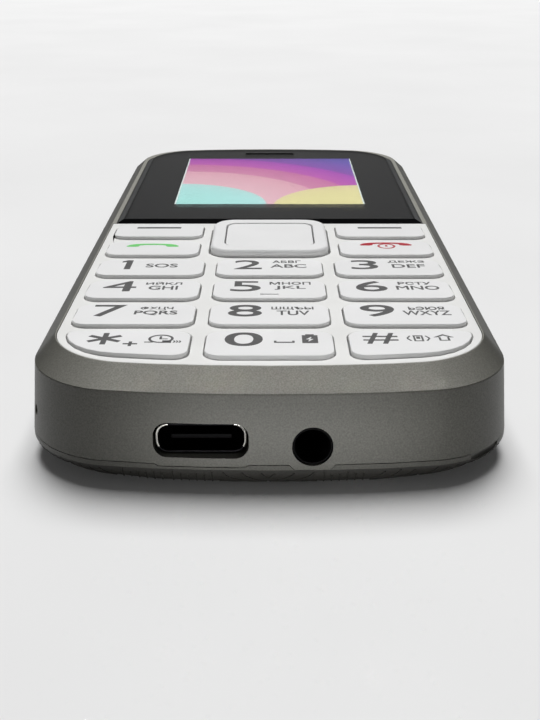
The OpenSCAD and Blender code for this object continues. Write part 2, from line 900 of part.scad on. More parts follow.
module mic_boot() {
    color("#2a2a2a")
        at_mic()
            difference() {
                translate([0, 0, mic_start - mic_t - boot_t])
                    cylinder(r = mic_r + boot_t, h = mic_t + boot_t);
                translate([0, 0, mic_start - mic_t - boot_t - through])
                    cylinder(r = mic_r + seat_gap, h = mic_t + through);
                cylinder(r = mic_hole_r, h = mic_start + through);
            }
}

// Frame under the board: battery bay from below, room for board parts from above
module rear_chassis() {
    bay_fit = 0.2;
    bay_hw = battery_w / 2 + bay_fit;
    pad_hw = head_r + 1;
    color("#3c3d3f")
        difference() {
            union() {
                prism(chassis_step, board_z - seat_gap) shell_2d(-wall_t - chassis_in);
                prism(chassis_z, chassis_step + sliver) shell_2d(draft_d - belly_in - 0.2);
            }
            translate([-bay_hw, battery_y - bay_fit, chassis_z - through])
                cube([2 * bay_hw, battery_l + contact_l + 3 * bay_fit, bay_z - chassis_z + through]);
            prism(under_z, board_z)
                difference() {
                    shell_2d(-wall_t - chassis_in - 1.2);
                    for (s = [-1, 1], y = boss_ys)
                        translate([s * boss_x, y]) circle(r = pad_hw);
                }
            for (s = [-1, 1])
                translate([s * (card_w / 2 + 0.6) - card_w / 2 + 1, battery_y + 4, bay_z - through])
                    cube([card_w - 2, card_l - 2, roof_t + 2 * through]);
            translate([-edge_hw, -edge_hl, chassis_z - through])
                cube([2 * edge_hw, battery_y - 1.2 + edge_hl, board_z]);
            translate([0, speaker_y, chassis_z - through])
                cylinder(r = speaker_r + 0.2, h = speaker_t + 0.3 + through);
            translate([motor_x, motor_y, board_z - motor_t - 0.2])
                cylinder(r = motor_r + 0.2, h = motor_t + through);
            at_bosses() {
                translate([0, 0, chassis_z - through])
                    cylinder(r = head_r + 0.15, h = screw_seat - chassis_z + through);
                cylinder(r = screw_r + 0.15, h = board_z + through);
            }
        }
}

module loudspeaker() {
    color("#55565a")
        translate([0, speaker_y, chassis_z])
            difference() {
                cylinder(r = speaker_r, h = speaker_t);
                translate([0, 0, -through])
                    cylinder(r = speaker_r * 0.78, h = through + 0.4);
            }
}

module vibration_motor() {
    color("#b4b5b7")
        translate([motor_x, motor_y, board_z - motor_t - seat_gap])
            cylinder(r = motor_r, h = motor_t);
}

module antenna() {
    color("#c9a24a")
        translate([-antenna_w / 2, antenna_end - antenna_l, chassis_z - 0.14])
            difference() {
                cube([antenna_w, antenna_l, 0.12]);
                translate([antenna_leg, antenna_leg, -through])
                    cube([antenna_w, antenna_l - 2 * antenna_leg, 2 * through]);
            }
}

module battery() {
    color("#d8d8d6")
        translate([0, battery_y + battery_l / 2, battery_z])
            linear_extrude(battery_t) polygon(rounded(battery_w, battery_l, 1.5));
}

module battery_contacts() {
    color("#d2b04c")
        translate([-contact_w / 2, battery_end + seat_gap, battery_z + 0.4])
            difference() {
                cube([contact_w, contact_l, battery_t - 0.4]);
                for (i = [1, 2])
                    translate([i * contact_w / 3 - contact_gap / 2, -through, -through])
                        cube([contact_gap, contact_l - 0.6 + through, battery_t * 0.6 + through]);
            }
}

module chassis_screws() {
    color("#8e9094")
        at_bosses() {
            translate([0, 0, screw_seat - head_t])
                difference() {
                    cylinder(r = head_r, h = head_t);
                    translate([-head_r * 0.6, -0.12, -0.1]) cube([head_r * 1.2, 0.24, 0.4]);
                    translate([-0.12, -head_r * 0.6, -0.1]) cube([0.24, head_r * 1.2, 0.4]);
                }
            translate([0, 0, screw_seat])
                cylinder(r = screw_r, h = boss_top - screw_seat - 0.2);
        }
}

// Snap tabs reach up inside the front shell
module cover_tabs() {
    rim_x = edge_hw + draft_d - cover_rim_t;
    foot_z = belly_z - 0.5;
    for (s = [-1, 1], y = [-0.62, 0, 0.62])
        translate([0, y * inner_hl - tab_w / 2, 0]) {
            translate([s > 0 ? tab_x - tab_t : -tab_x, 0, foot_z])
                cube([tab_t, tab_w, cover_h + tab_h - foot_z]);
            translate([s > 0 ? tab_x - tab_t : -rim_x - 0.3, 0, foot_z])
                cube([rim_x + 0.3 - tab_x + tab_t, tab_w, cover_h - 2 * cover_fit - foot_z]);
        }
}

module battery_cover() {
    notch_c = corner_at(edge_hw, edge_hl, corner_r, end_bow);
    color("#6c6b68") {
        difference() {
            cover_form();
            cover_hollow();
            port_dips(cover_fit);
            translate([notch_c.x, -notch_c.y, cover_h - notch_r * 0.35])
                rotate([0, 0, -45])
                    translate([corner_r + draft_d, notch_l / 2, 0])
                        rotate([90, 0, 0]) cylinder(r = notch_r, h = notch_l);
            for (i = [0 : grille_n - 1])
                translate([-grille_w / 2, speaker_y + (2 * i - grille_n + 0.5) * grille_l, -through])
                    cube([grille_w, grille_l, cover_t + 2 * through]);
        }
        cover_tabs();
    }
}

front_housing();
keypad_plate();
display_lens();
lens_tape();
earpiece_mesh();
key_1();
key_2();
key_3();
key_4();
key_5();
key_6();
key_7();
key_8();
key_9();
key_star();
key_0();
key_hash();
soft_key_left();
soft_key_right();
call_key();
end_key();
nav_ring();
nav_base();
ok_key();
key_mat();
dome_switches();
main_board();
shield_can();
card_sockets();
lcd_panel();
lcd_backlight();
lcd_flex();
earpiece_speaker();
usb_shell();
usb_tongue();
audio_jack();
microphone();
mic_boot();
rear_chassis();
loudspeaker();
vibration_motor();
antenna();
battery();
battery_contacts();
chassis_screws();
battery_cover();
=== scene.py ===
import math
from functools import partial

import bmesh
import bpy
from mathutils import Matrix, Vector
from mathutils.bvhtree import BVHTree


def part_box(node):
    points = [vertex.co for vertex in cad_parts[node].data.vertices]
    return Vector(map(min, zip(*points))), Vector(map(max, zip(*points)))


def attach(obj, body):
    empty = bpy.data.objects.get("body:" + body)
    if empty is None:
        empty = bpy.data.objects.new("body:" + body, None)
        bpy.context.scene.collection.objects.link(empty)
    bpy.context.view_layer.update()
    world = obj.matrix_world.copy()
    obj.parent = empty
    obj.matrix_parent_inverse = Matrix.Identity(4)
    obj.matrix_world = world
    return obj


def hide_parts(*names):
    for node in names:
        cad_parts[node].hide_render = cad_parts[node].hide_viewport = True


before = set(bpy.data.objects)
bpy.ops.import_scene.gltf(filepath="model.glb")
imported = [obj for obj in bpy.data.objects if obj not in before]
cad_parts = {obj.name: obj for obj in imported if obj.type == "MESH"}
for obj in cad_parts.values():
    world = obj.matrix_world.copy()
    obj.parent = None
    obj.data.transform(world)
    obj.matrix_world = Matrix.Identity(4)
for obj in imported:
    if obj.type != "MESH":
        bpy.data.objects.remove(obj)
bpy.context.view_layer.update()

mm = 0.001  # pieces are modelled in millimetres and brought to metres at the end
quarterTurn = math.radians(90)
levelGap = 0.001  # points that differ by less lie at one height
cornerSteps = 8  # segments of a small round corner
bowSteps = 20  # segments of a corner of the bowed outlines
bowStops = (-12, -6, 0, 6, 12)  # points along a bowed end


# Camera at the photograph's viewing angle

photoView = {
    "lens": 54.5, "sensor": 36, "clipStart": 5,
    "place": (0.06, -155.4, 53.38),
    "tilt": 68.06,
}


def addToScene(name, data):
    thing = bpy.data.objects.new(name, data)
    bpy.context.scene.collection.objects.link(thing)
    return thing


camera = addToScene("camera", bpy.data.cameras.new("camera"))
camera.data.lens = photoView["lens"]
camera.data.sensor_width = photoView["sensor"]
camera.data.clip_start = photoView["clipStart"] * mm
camera.location = Vector(photoView["place"]) * mm
camera.rotation_euler = (math.radians(photoView["tilt"]), 0, 0)
bpy.context.scene.camera = camera


# Small helpers for colours, nodes and meshes

def toLinear(hexText):
    parts = [int(hexText[i:i + 2], 16) / 255 for i in (1, 3, 5)]
    return [c / 12.92 if c <= 0.04045 else ((c + 0.055) / 1.055) ** 2.4 for c in parts] + [1]


def perMetre(sizeMm):
    return 1 / (sizeMm * mm)  # texture scale whose features are about that size


def addNode(tree, kind, inputs=None, stops=None, **settings):
    # an input is a value, a socket, or a node that gives its first output
    node = tree.nodes.new("ShaderNode" + kind)
    for name, value in settings.items():
        setattr(node, name, value)
    for name, value in (inputs or {}).items():
        if isinstance(value, bpy.types.Node):
            value = value.outputs[0]
        if isinstance(value, bpy.types.NodeSocket):
            tree.links.new(value, node.inputs[name])
        else:
            node.inputs[name].default_value = value
    if stops:
        elements = node.color_ramp.elements
        elements[0].position, elements[1].position = stops[0][0], stops[-1][0]
        for stop in stops[1:-1]:
            elements.new(stop[0])
        for element, stop in zip(elements, stops):
            element.color = toLinear(stop[1])
    return node


def startMaterial(name):
    # the material, addNode for its tree, and the place on the piece for textures
    material = bpy.data.materials.new(name)
    material.use_nodes = True
    material.node_tree.nodes.clear()
    add = partial(addNode, material.node_tree)
    return material, add, add("TexCoord").outputs["Object"]


def endMaterial(material, shader):
    addNode(material.node_tree, "OutputMaterial", {"Surface": shader})
    return material


def nodeBox(node):
    # lowest, highest and middle point of a frame node
    low, high = (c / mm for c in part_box(node))
    return low, high, (low + high) / 2


def pointFace(bm, points, z, rounds=()):
    # one flat face; rounds gives (index of a corner, radius)
    verts = [bm.verts.new((x, y, z)) for x, y in points]
    known = set(bm.faces)
    bm.faces.new(verts)
    for index, radius in rounds:
        bmesh.ops.bevel(bm, geom=[verts[index]], offset=radius, segments=cornerSteps, profile=0.5,
                        affect="VERTICES", material=-1)
    return [f for f in bm.faces if f not in known][0]


def rectPoints(x, y, width, length):
    w, l = width / 2, length / 2
    return [(x - w, y - l), (x + w, y - l), (x + w, y + l), (x - w, y + l)]


def roundRect(bm, x, y, width, length, radius, z):
    return pointFace(bm, rectPoints(x, y, width, length), z, [(i, radius) for i in range(4)])


def endY(shape, x):
    return shape["halfLength"] - shape["bow"] + math.sqrt(shape["bow"] ** 2 - x * x)


def bowFace(bm, shape, z):
    # outline with shallow bowed ends and round corners
    half, last = shape["halfWidth"], bowStops[-1]
    stops = (-half, *bowStops, half)
    points = [(x, -endY(shape, x)) for x in stops] + [(-x, endY(shape, x)) for x in stops]
    verts = [bm.verts.new((x, y, z)) for x, y in points]
    corners = [v for v in verts if abs(v.co.x) > half - 0.01]
    bm.faces.new(verts)
    # the corners are blunter than square
    lean = math.atan2(endY(shape, last) - endY(shape, half), half - last)
    reach = shape["corner"] * math.tan((quarterTurn - lean) / 2)
    bmesh.ops.bevel(bm, geom=corners, offset=reach, segments=bowSteps, profile=0.5,
                    affect="VERTICES", material=-1)
    return bm.faces[:][0]


def vertsOf(geom):
    return [g for g in geom if isinstance(g, bmesh.types.BMVert)]


def pull(bm, face, move, size=(1, 1), about=(0, 0)):
    # extrude a face along move and scale its outline about a point
    grown = bmesh.ops.extrude_face_region(bm, geom=[face])["geom"]
    verts = vertsOf(grown)
    centre = Matrix.Translation((-about[0], -about[1], 0))
    bmesh.ops.scale(bm, vec=(*size, 1), verts=verts, space=centre)
    bmesh.ops.translate(bm, vec=move, verts=verts)
    if all(len(e.link_faces) > 2 for e in face.edges):
        bmesh.ops.delete(bm, geom=[face], context="FACES_ONLY")  # it now lies inside the solid
    return [g for g in grown if isinstance(g, bmesh.types.BMFace)][0]


def keepFar(bm, cutY, way):
    # cut away what lies on the near side of a line across the phone, or the far side where way is -1
    return bmesh.ops.bisect_plane(bm, geom=bm.verts[:] + bm.edges[:] + bm.faces[:], plane_co=(0, cutY, 0),
                                  plane_no=(0, way, 0), clear_inner=True)["geom_cut"]


def standUp(bm, verts, place):
    # turn what was drawn flat upright across the phone
    bmesh.ops.rotate(bm, verts=verts, matrix=Matrix.Rotation(quarterTurn, 3, "X"))
    bmesh.ops.translate(bm, vec=place, verts=verts)


def softenEdges(bm, edges, width, segments=3):
    bmesh.ops.bevel(bm, geom=list(edges), offset=width, offset_type="OFFSET", segments=segments,
                    profile=0.5, affect="EDGES", material=-1)


def addBlock(bm, place, size, edge=0, segments=2):
    block = bmesh.ops.create_cube(bm, size=1, matrix=Matrix.Translation(place) @ Matrix.Diagonal((*size, 1)))
    if edge:
        softenEdges(bm, dict.fromkeys(e for v in block["verts"] for e in v.link_edges), edge, segments)


def addStem(bm, x, y, z0, z1, footRadius, topRadius):
    bmesh.ops.create_cone(bm, cap_ends=True, segments=24, radius1=footRadius, radius2=topRadius, depth=z1 - z0,
                          matrix=Matrix.Translation((x, y, (z0 + z1) / 2)))


def toObject(bm, name, closed=True):
    if closed:
        bmesh.ops.recalc_face_normals(bm, faces=bm.faces[:])
    piece = addToScene(name, bpy.data.meshes.new(name))
    putBack(bm, piece)
    return piece


def reopen(piece):
    bm = bmesh.new()
    bm.from_mesh(piece.data)
    return bm


def putBack(bm, piece):
    bm.to_mesh(piece.data)
    bm.free()


def finalMesh(thing):
    return bpy.data.meshes.new_from_object(thing.evaluated_get(bpy.context.evaluated_depsgraph_get()))


def carve(piece, cutters):
    for cutter in cutters:
        cut = piece.modifiers.new("cut", "BOOLEAN")
        cut.operation = "DIFFERENCE"
        cut.solver = "EXACT"
        cut.object = cutter
    carved = finalMesh(piece)
    piece.modifiers.clear()
    plain, piece.data = piece.data, carved
    bpy.data.meshes.remove(plain)
    for cutter in cutters:
        bpy.data.meshes.remove(cutter.data)


def dress(piece, body, nodes, material, sharpAngle=32):
    piece.data.transform(Matrix.Scale(mm, 4))
    piece.data.name = piece.name
    piece.data.materials.clear()
    piece.data.materials.append(material)
    piece.data.shade_smooth()
    piece.data.set_sharp_from_angle(angle=math.radians(sharpAngle))
    even = piece.modifiers.new("even shading", "WEIGHTED_NORMAL")
    even.keep_sharp = True
    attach(piece, body)
    if nodes:
        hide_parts(*nodes)


# Materials

def metallicPaint(name, dark, light):
    # grey metallic lacquer on moulded ABS: satin, with fine aluminium flakes that sparkle softly, and painted
    # light and shade set by which way each face looks
    material, add, where = startMaterial(name)
    flakes = add("TexNoise", {"Vector": where, "Scale": perMetre(0.16), "Detail": 2.0})
    cloud = add("TexNoise", {"Vector": where, "Scale": perMetre(9), "Detail": 3.0})
    colour = add("ValToRGB", {"Fac": flakes}, [(0.3, dark), (0.7, light)])
    # painted light and shade: faces that look up get a lighter copy of the paint and slopes that turn to the
    # sides are darkened, standing in for how the light falls on them
    facing = add("SeparateXYZ", {"Vector": add("NewGeometry").outputs["Normal"]})
    across = add("Math", {0: facing.outputs["X"]}, operation="ABSOLUTE")
    sideways = add("MapRange", {"Value": across, "From Min": 0.05, "From Max": 0.68})
    upwards = add("MapRange", {"Value": facing.outputs["Z"], "From Min": 0.2, "From Max": 0.5})
    paintedSideShade = add("Math", {0: sideways, 1: upwards}, operation="MULTIPLY")
    level = add("MapRange", {"Value": facing.outputs["Z"], "From Min": 0.45, "From Max": 0.85})
    # painted highlight: faces that look up, less the sideways slopes, get the lighter copy of the paint
    lift = add("Math", {0: level, 1: paintedSideShade}, operation="SUBTRACT", use_clamp=True)
    bright = add("ValToRGB", {"Fac": flakes}, [(0.3, "#86857e"), (0.7, "#a09f98")])
    colour = add("MixRGB", {"Fac": lift, "Color1": colour, "Color2": bright})
    # painted shade: the sideways slopes are darkened towards black
    paintedShadeAmount = add("Math", {0: paintedSideShade, 1: 0.63}, operation="MULTIPLY")
    colour = add("MixRGB", {"Fac": paintedShadeAmount, "Color1": colour, "Color2": toLinear("#000000")})
    satin = add("MapRange", {"Value": cloud, "To Min": 0.42, "To Max": 0.48})
    normal = add("Bump", {"Height": flakes, "Strength": 0.12, "Distance": 0.02 * mm})
    return endMaterial(material, add("BsdfPrincipled", {
        "Base Color": colour, "Roughness": satin, "Normal": normal, "Metallic": 0.0, "IOR": 1.5}))


def mouldedPlastic(name, dark, light, roughness, grainMm, grainDepthMm, ior=1.53, shine=0.5):
    # plastic or rubber straight from a spark-eroded mould: even colour, fine grain that breaks up the gloss
    material, add, where = startMaterial(name)
    grain = add("TexNoise", {"Vector": where, "Scale": perMetre(grainMm), "Detail": 3.0})
    cloud = add("TexNoise", {"Vector": where, "Scale": perMetre(7), "Detail": 2.0})
    colour = add("ValToRGB", {"Fac": cloud}, [(0.3, dark), (0.7, light)])
    gloss = add("MapRange", {"Value": grain, "To Min": roughness - 0.05, "To Max": roughness + 0.05})
    normal = add("Bump", {"Height": grain, "Strength": 0.2, "Distance": grainDepthMm * mm})
    return endMaterial(material, add("BsdfPrincipled", {
        "Base Color": colour, "Roughness": gloss, "Normal": normal, "IOR": ior, "Specular IOR Level": shine}))


def sheetMetal(name, dark, light, roughness, streakMm=(0.6, 6, 0.6)):
    # rolled or plated metal: faint streaks along the rolling direction in colour and gloss
    material, add, where = startMaterial(name)
    rolled = add("Mapping", {"Vector": where, "Scale": [perMetre(s) for s in streakMm]})
    streaks = add("TexNoise", {"Vector": rolled, "Scale": 1.0, "Detail": 4.0})
    colour = add("ValToRGB", {"Fac": streaks}, [(0.3, dark), (0.7, light)])
    gloss = add("MapRange", {"Value": streaks, "To Min": roughness - 0.06, "To Max": roughness + 0.06})
    normal = add("Bump", {"Height": streaks, "Strength": 0.1, "Distance": 0.01 * mm})
    return endMaterial(material, add("BsdfPrincipled", {
        "Base Color": colour, "Roughness": gloss, "Normal": normal, "Metallic": 1.0}))


def screenInk(name, dark, light, shine=0.5):
    # pad-printed ink: matt, slightly uneven cover
    material, add, where = startMaterial(name)
    uneven = add("TexNoise", {"Vector": where, "Scale": perMetre(0.35), "Detail": 3.0})
    colour = add("ValToRGB", {"Fac": uneven}, [(0.3, dark), (0.7, light)])
    return endMaterial(material, add("BsdfPrincipled", {
        "Base Color": colour, "Roughness": 0.55, "IOR": 1.5, "Specular IOR Level": shine}))


def castAcrylic():
    # hard-coated acrylic window: clear, a trace of grey, almost mirror smooth, reflections damped by the coat
    material, add, where = startMaterial("castAcrylic")
    wipes = add("TexNoise", {"Vector": where, "Scale": perMetre(5), "Detail": 5.0})
    polish = add("MapRange", {"Value": wipes, "To Min": 0.02, "To Max": 0.07})
    return endMaterial(material, add("BsdfPrincipled", {
        "Base Color": toLinear("#f2f3f4"), "Roughness": polish, "IOR": 1.49, "Transmission Weight": 1.0,
        "Specular IOR Level": 0.46}))


picture = {
    "middle": (0, 28), "size": (29.6, 35),
    "ringCentre": (-15, -17.5), "sunCentre": (15.5, -19),  # from the middle of the picture
    "reach": 48, "sunRadius": 15,
    "rim": (0.18, 0.35),  # bright line along the sides and the near end
    "glow": 1.7,
}


def litPicture():
    # colour display behind the window: even glow, round bands of colour and a bright line round the rim
    material, add, where = startMaterial("litPicture")
    x, y = picture["middle"]
    rimX, rimY = [side / 2 - line for side, line in zip(picture["size"], picture["rim"])]
    centred = add("Mapping", {"Vector": where, "Location": (-x * mm, -y * mm, 0)})
    axes = add("SeparateXYZ", {"Vector": centred})
    flat = add("CombineXYZ", {"X": axes.outputs["X"], "Y": axes.outputs["Y"]})
    fromRings, fromSun = [
        add("VectorMath", {0: flat, 1: [c * mm for c in (*picture[centre], 0)]}, operation="DISTANCE")
        for centre in ("ringCentre", "sunCentre")]
    share = add("Math", {0: fromRings.outputs["Value"], 1: picture["reach"] * mm}, operation="DIVIDE")
    bands = add("ValToRGB", {"Fac": share}, [
        (0.0, "#a8e6de"), (0.3, "#b4e8e4"), (0.305, "#e8bcc6"), (0.5, "#e6aebc"), (0.505, "#d58cae"),
        (0.62, "#cf78a8"), (0.625, "#c45fb4"), (0.74, "#b04cba"), (0.745, "#8f50b0"), (0.9, "#6c5cb8")])
    sun = add("Math", {0: fromSun.outputs["Value"], 1: picture["sunRadius"] * mm}, operation="LESS_THAN")
    shown = add("MixRGB", {"Fac": sun, "Color1": bands, "Color2": toLinear("#e8e0a2")})
    across = add("Math", {0: axes.outputs["X"]}, operation="ABSOLUTE")
    atSides = add("Math", {0: across, 1: rimX * mm}, operation="GREATER_THAN")
    atNear = add("Math", {0: axes.outputs["Y"], 1: -rimY * mm}, operation="LESS_THAN")
    rim = add("Math", {0: atSides, 1: atNear}, operation="MAXIMUM")
    shown = add("MixRGB", {"Fac": rim, "Color1": shown, "Color2": toLinear("#eefaf6")})
    return endMaterial(material, add("BsdfPrincipled", {
        "Base Color": toLinear("#101214"), "Roughness": 0.25, "Specular IOR Level": 0.05,
        "Emission Color": shown, "Emission Strength": picture["glow"]}))


def punchedMesh():
    # black painted steel gauze: round holes 0.35 mm apart
    material, add, where = startMaterial("punchedMesh")
    # painted shade: the holes are darker spots standing in for the shade seen through them
    holes = add("TexVoronoi", {"Vector": where, "Scale": perMetre(0.35), "Randomness": 0.0})
    colour = add("ValToRGB", {"Fac": holes.outputs["Distance"]}, [(0.3, "#020202"), (0.42, "#121214")])
    return endMaterial(material, add("BsdfPrincipled", {
        "Base Color": colour, "Roughness": 0.45, "Metallic": 0.6}))


def solderMask():
    # glass-epoxy board under green solder mask, with lighter copper tracks
    material, add, where = startMaterial("solderMask")
    tracks = add("TexBrick", {
        "Vector": where, "Scale": 1.0,
        "Brick Width": 3.2 * mm, "Row Height": 0.9 * mm, "Mortar Size": 0.12 * mm,
        "Color1": toLinear("#1c5a3a"), "Color2": toLinear("#184f34"), "Mortar": toLinear("#3f8a5c")})
    resin = add("TexNoise", {"Vector": where, "Scale": perMetre(2)})
    gloss = add("MapRange", {"Value": resin, "To Min": 0.25, "To Max": 0.4})
    return endMaterial(material, add("BsdfPrincipled", {
        "Base Color": tracks.outputs["Color"], "Roughness": gloss, "IOR": 1.55}))


def shrinkWrap():
    # printed film round the battery: pale grey with one darker band and a satin gloss
    material, add, where = startMaterial("shrinkWrap")
    axes = add("SeparateXYZ", {"Vector": where})
    band = add("MapRange", {"Value": axes.outputs["Y"], "From Min": -42 * mm, "From Max": 10.5 * mm})
    film = add("ValToRGB", {"Fac": band}, [
        (0.0, "#3f4a55"), (0.18, "#46525e"), (0.185, "#d3d5d4"), (1.0, "#dcdedd")])
    wrinkles = add("TexNoise", {"Vector": where, "Scale": perMetre(4), "Detail": 4.0})
    normal = add("Bump", {"Height": wrinkles, "Strength": 0.15, "Distance": 0.08 * mm})
    gloss = add("MapRange", {"Value": wrinkles, "To Min": 0.3, "To Max": 0.42})
    return endMaterial(material, add("BsdfPrincipled", {
        "Base Color": film, "Roughness": gloss, "Normal": normal}))


greyPaint = metallicPaint("greyMetallicPaint", "#62625b", "#787770")
coverPaint = metallicPaint("greyCoverPaint", "#5a5a53", "#6c6b65")
# painted shade: a darker copy of the cover paint for the underside and its ribs
shadedUndersidePaint = metallicPaint("greyPaintShadedUnderside", "#3b3a37", "#454440")
plateAbs = mouldedPlastic("whitePlateAbs", "#e6e6e4", "#ebebe9", 0.42, 0.25, 0.01)
keyAbs = mouldedPlastic("whiteKeyAbs", "#ebebeb", "#efefef", 0.36, 0.25, 0.006)
greyInk = screenInk("greyInk", "#585858", "#666666")
greenInk = screenInk("greenInk", "#6cc86e", "#7fd680")
redInk = screenInk("redInk", "#a8323c", "#b8424a")
blackMask = screenInk("blackWindowPrint", "#121213", "#1a1a1c", 0.05)
# painted shade and painted reflection for the window's walls and slopes
shadeEdgePaint = mouldedPlastic("blackPaintedShadeEdge", "#0b0b0c", "#111112", 0.8, 0.3, 0.005, 1.5, 0.05)
reflectionSlopePaint = mouldedPlastic("greyPaintedReflectionSlope", "#3a3b3c", "#434445", 0.4, 0.3, 0.005)
acrylic = castAcrylic()
displayGlow = litPicture()
gauze = punchedMesh()
nickel = sheetMetal("nickelPlate", "#c4c3bd", "#dedcd5", 0.24)
# painted shade: a near-black copy of the nickel for the socket's bore and rim
shadedNickel = sheetMetal("nickelPaintedShade", "#131314", "#1c1c1e", 0.45)
blackNylon = mouldedPlastic("blackNylon", "#0a0a0b", "#111112", 0.6, 0.3, 0.01, 1.53, 0.05)
goldFlash = sheetMetal("goldFlash", "#b8903f", "#cda65a", 0.3)
siliconeMat = mouldedPlastic("siliconeMat", "#cdcfcd", "#d8dad8", 0.5, 0.5, 0.02, 1.41)
domeSteel = sheetMetal("domeSteel", "#b4b6b8", "#cbcdce", 0.22)
boardMask = solderMask()
tinPlate = sheetMetal("tinPlate", "#a4a6a7", "#c0c1c2", 0.34)
lightGuide = mouldedPlastic("backlightFrame", "#cfd0cf", "#dadbda", 0.45, 0.4, 0.01)
polyimide = mouldedPlastic("polyimideFlex", "#a8682a", "#bd7c36", 0.38, 0.4, 0.008)
speakerBlack = mouldedPlastic("speakerPaper", "#36373a", "#45464a", 0.6, 0.4, 0.03)
micCan = sheetMetal("micCan", "#a9abad", "#c3c4c6", 0.3)
blackRubber = mouldedPlastic("blackRubber", "#1d1d1e", "#262627", 0.6, 0.4, 0.02, 1.5)
chassisAbs = mouldedPlastic("chassisAbs", "#333437", "#3d3e41", 0.5, 0.35, 0.03)
brassFoil = sheetMetal("brassFoil", "#b08c3e", "#cfa955", 0.3)
batteryFilm = shrinkWrap()
screwZinc = sheetMetal("zincScrew", "#7f8287", "#9b9ea3", 0.32, (0.3, 0.3, 0.3))
print("materials ready")


# Front shell: slanted walls, the slope up to the deck, ledges and socket holes

shell = {
    "partingZ": 3.19, "edgeZ": 10.625, "deckZ": 12.425, "ceilingZ": 10.225, "plateZ": 11.225, "lensZ": 11.575,
    "parting": {"halfWidth": 25.386, "halfLength": 58.786, "corner": 10.04, "bow": 150.5},
    "edgeSize": (24.85, 58.25), "rimSize": (23.0, 55.4),
    "cavity": {"halfWidth": 23.35, "halfLength": 56.75, "corner": 8, "bow": 148.5},
    "opening": {"halfWidth": 22.85, "halfLength": 55.25, "corner": 9, "bow": 130},
    "ledge": {"halfWidth": 22.3, "halfLength": 54.7, "corner": 8.45, "bow": 129.45},
    "lensPocket": {"halfWidth": 22.36, "halfLength": 53.26, "corner": 8.51, "bow": 129.5},
    "lensNearY": -0.41, "ledgeWidth": 0.55,
    "slopeEdge": 0.05, "rimEdge": 0.06, "skirt": 0.6,
    "groove": (0.05, 0.09),  # shadow line under the slope: depth, height
    "lcdHole": {"x": 0, "y": 25.65, "width": 34.9, "length": 42.8, "radius": 0.4},
}
# the parting line steps down under the two sockets: (middle, half width, drop)
dips = [(-6.8, 4.275, 0.27), (4.3, 1.8, 0.57)]
dipSlope = 0.5
# reach of the cutting blocks: trims and near wall along the phone, half width to the sides, the rest upwards
cuts = {"below": -1, "above": 14, "deck": (9, 12), "keys": (10, 15), "window": (11, 14), "coverFloor": (-1, 2),
        "nearTrim": (-70, -50), "farTrim": (-50.5, 70), "nearWall": (-62, -54), "halfWidth": 40}
# the last entries of usb set where the socket's bore and rim get painted shade
usb = {"x": -6.8, "z": 5.67, "width": 9.15, "height": 3.25, "mouth": -57.75, "length": 7.3, "wall": 0.3,
       "fit": 0.2, "round": 0.78, "lip": 0.14, "legTop": 7.85, "legs": (2.04, 5.26), "legLength": 1.2,
       "flatHalf": 3, "shadeBelow": -0.95, "shadeRun": (-1, 3.3)}
jack = {"x": 4.3, "z": 5.1, "hole": 2.05, "bore": 1.8, "nose": 2.0, "noseY": -58.44, "bodyY": -56.35,
        "lip": 0.06, "boreLength": 12, "corner": 0.4, "edge": 0.2}
mic = {"centre": (-15.35, -47.91, 5.8), "turn": math.radians(200), "hole": 0.6, "length": 14}
earSlot = {"y": 48.35, "width": 9.1, "height": 1.2, "corner": 0.59, "seatZ": 11.42, "seatRim": 1.3,
           "seatCorner": 1.2, "maskRim": 0.4, "maskCorner": 0.75}


def acrossBlock(name, points, y0, y1):
    # block of an upright outline of (x, z) points, lying along the phone
    bm = bmesh.new()
    pull(bm, pointFace(bm, points, 0), (0, 0, y1 - y0))
    standUp(bm, bm.verts[:], (0, y1, 0))
    return toObject(bm, name)


def partingCuts():
    # what lies below the parting line: stepped at the near end, straight elsewhere
    z, side = shell["partingZ"], cuts["halfWidth"]
    foot, last = [(-side, cuts["below"]), (side, cuts["below"]), (side, z)], [(-side, z)]
    steps = []
    for x, half, drop in reversed(dips):
        steps += [(x + half + dipSlope, z), (x + half, z - drop),
                  (x - half, z - drop), (x - half - dipSlope, z)]
    return [acrossBlock("nearTrim", foot + steps + last, *cuts["nearTrim"]),
            acrossBlock("farTrim", foot + last, *cuts["farTrim"])]


def prismOf(name, shape, z0, z1, cutY=None, way=1):
    # straight block of a bowed outline, cut off at a line across the phone
    bm = bmesh.new()
    pull(bm, bowFace(bm, shape, z0), (0, 0, z1 - z0))
    if cutY is not None:
        rim = [g for g in keepFar(bm, cutY, way) if isinstance(g, bmesh.types.BMEdge)]
        bmesh.ops.contextual_create(bm, geom=rim)
    return toObject(bm, name)


def blockOf(name, x, y, width, length, radius, z0, z1):
    bm = bmesh.new()
    pull(bm, roundRect(bm, x, y, width, length, radius, z0), (0, 0, z1 - z0))
    return toObject(bm, name)


def slotBlock(name, rim, corner, z0, z1):
    # cutter for the sound slot at the ear, wider by rim
    return blockOf(name, 0, earSlot["y"], earSlot["width"] + rim, earSlot["height"] + rim, corner, z0, z1)


def rodOf(name, start, towards, radius, length):
    bm = bmesh.new()
    turned = Vector((0, 0, 1)).rotation_difference(Vector(towards)).to_matrix().to_4x4()
    bmesh.ops.create_cone(bm, cap_ends=True, segments=48, radius1=radius, radius2=radius, depth=length,
                          matrix=Matrix.Translation(start) @ turned @ Matrix.Translation((0, 0, length / 2)))
    return toObject(bm, name)


def stadium(bm, grow, y0, y1):
    # round-ended section of the socket, grown all round and lying along the phone
    width, height = usb["width"] + 2 * grow, usb["height"] + 2 * grow
    face = roundRect(bm, usb["x"], 0, width, height, height / 2 * usb["round"], 0)
    pull(bm, face, (0, 0, y1 - y0))
    standUp(bm, bm.verts[:], (0, y1, usb["z"]))


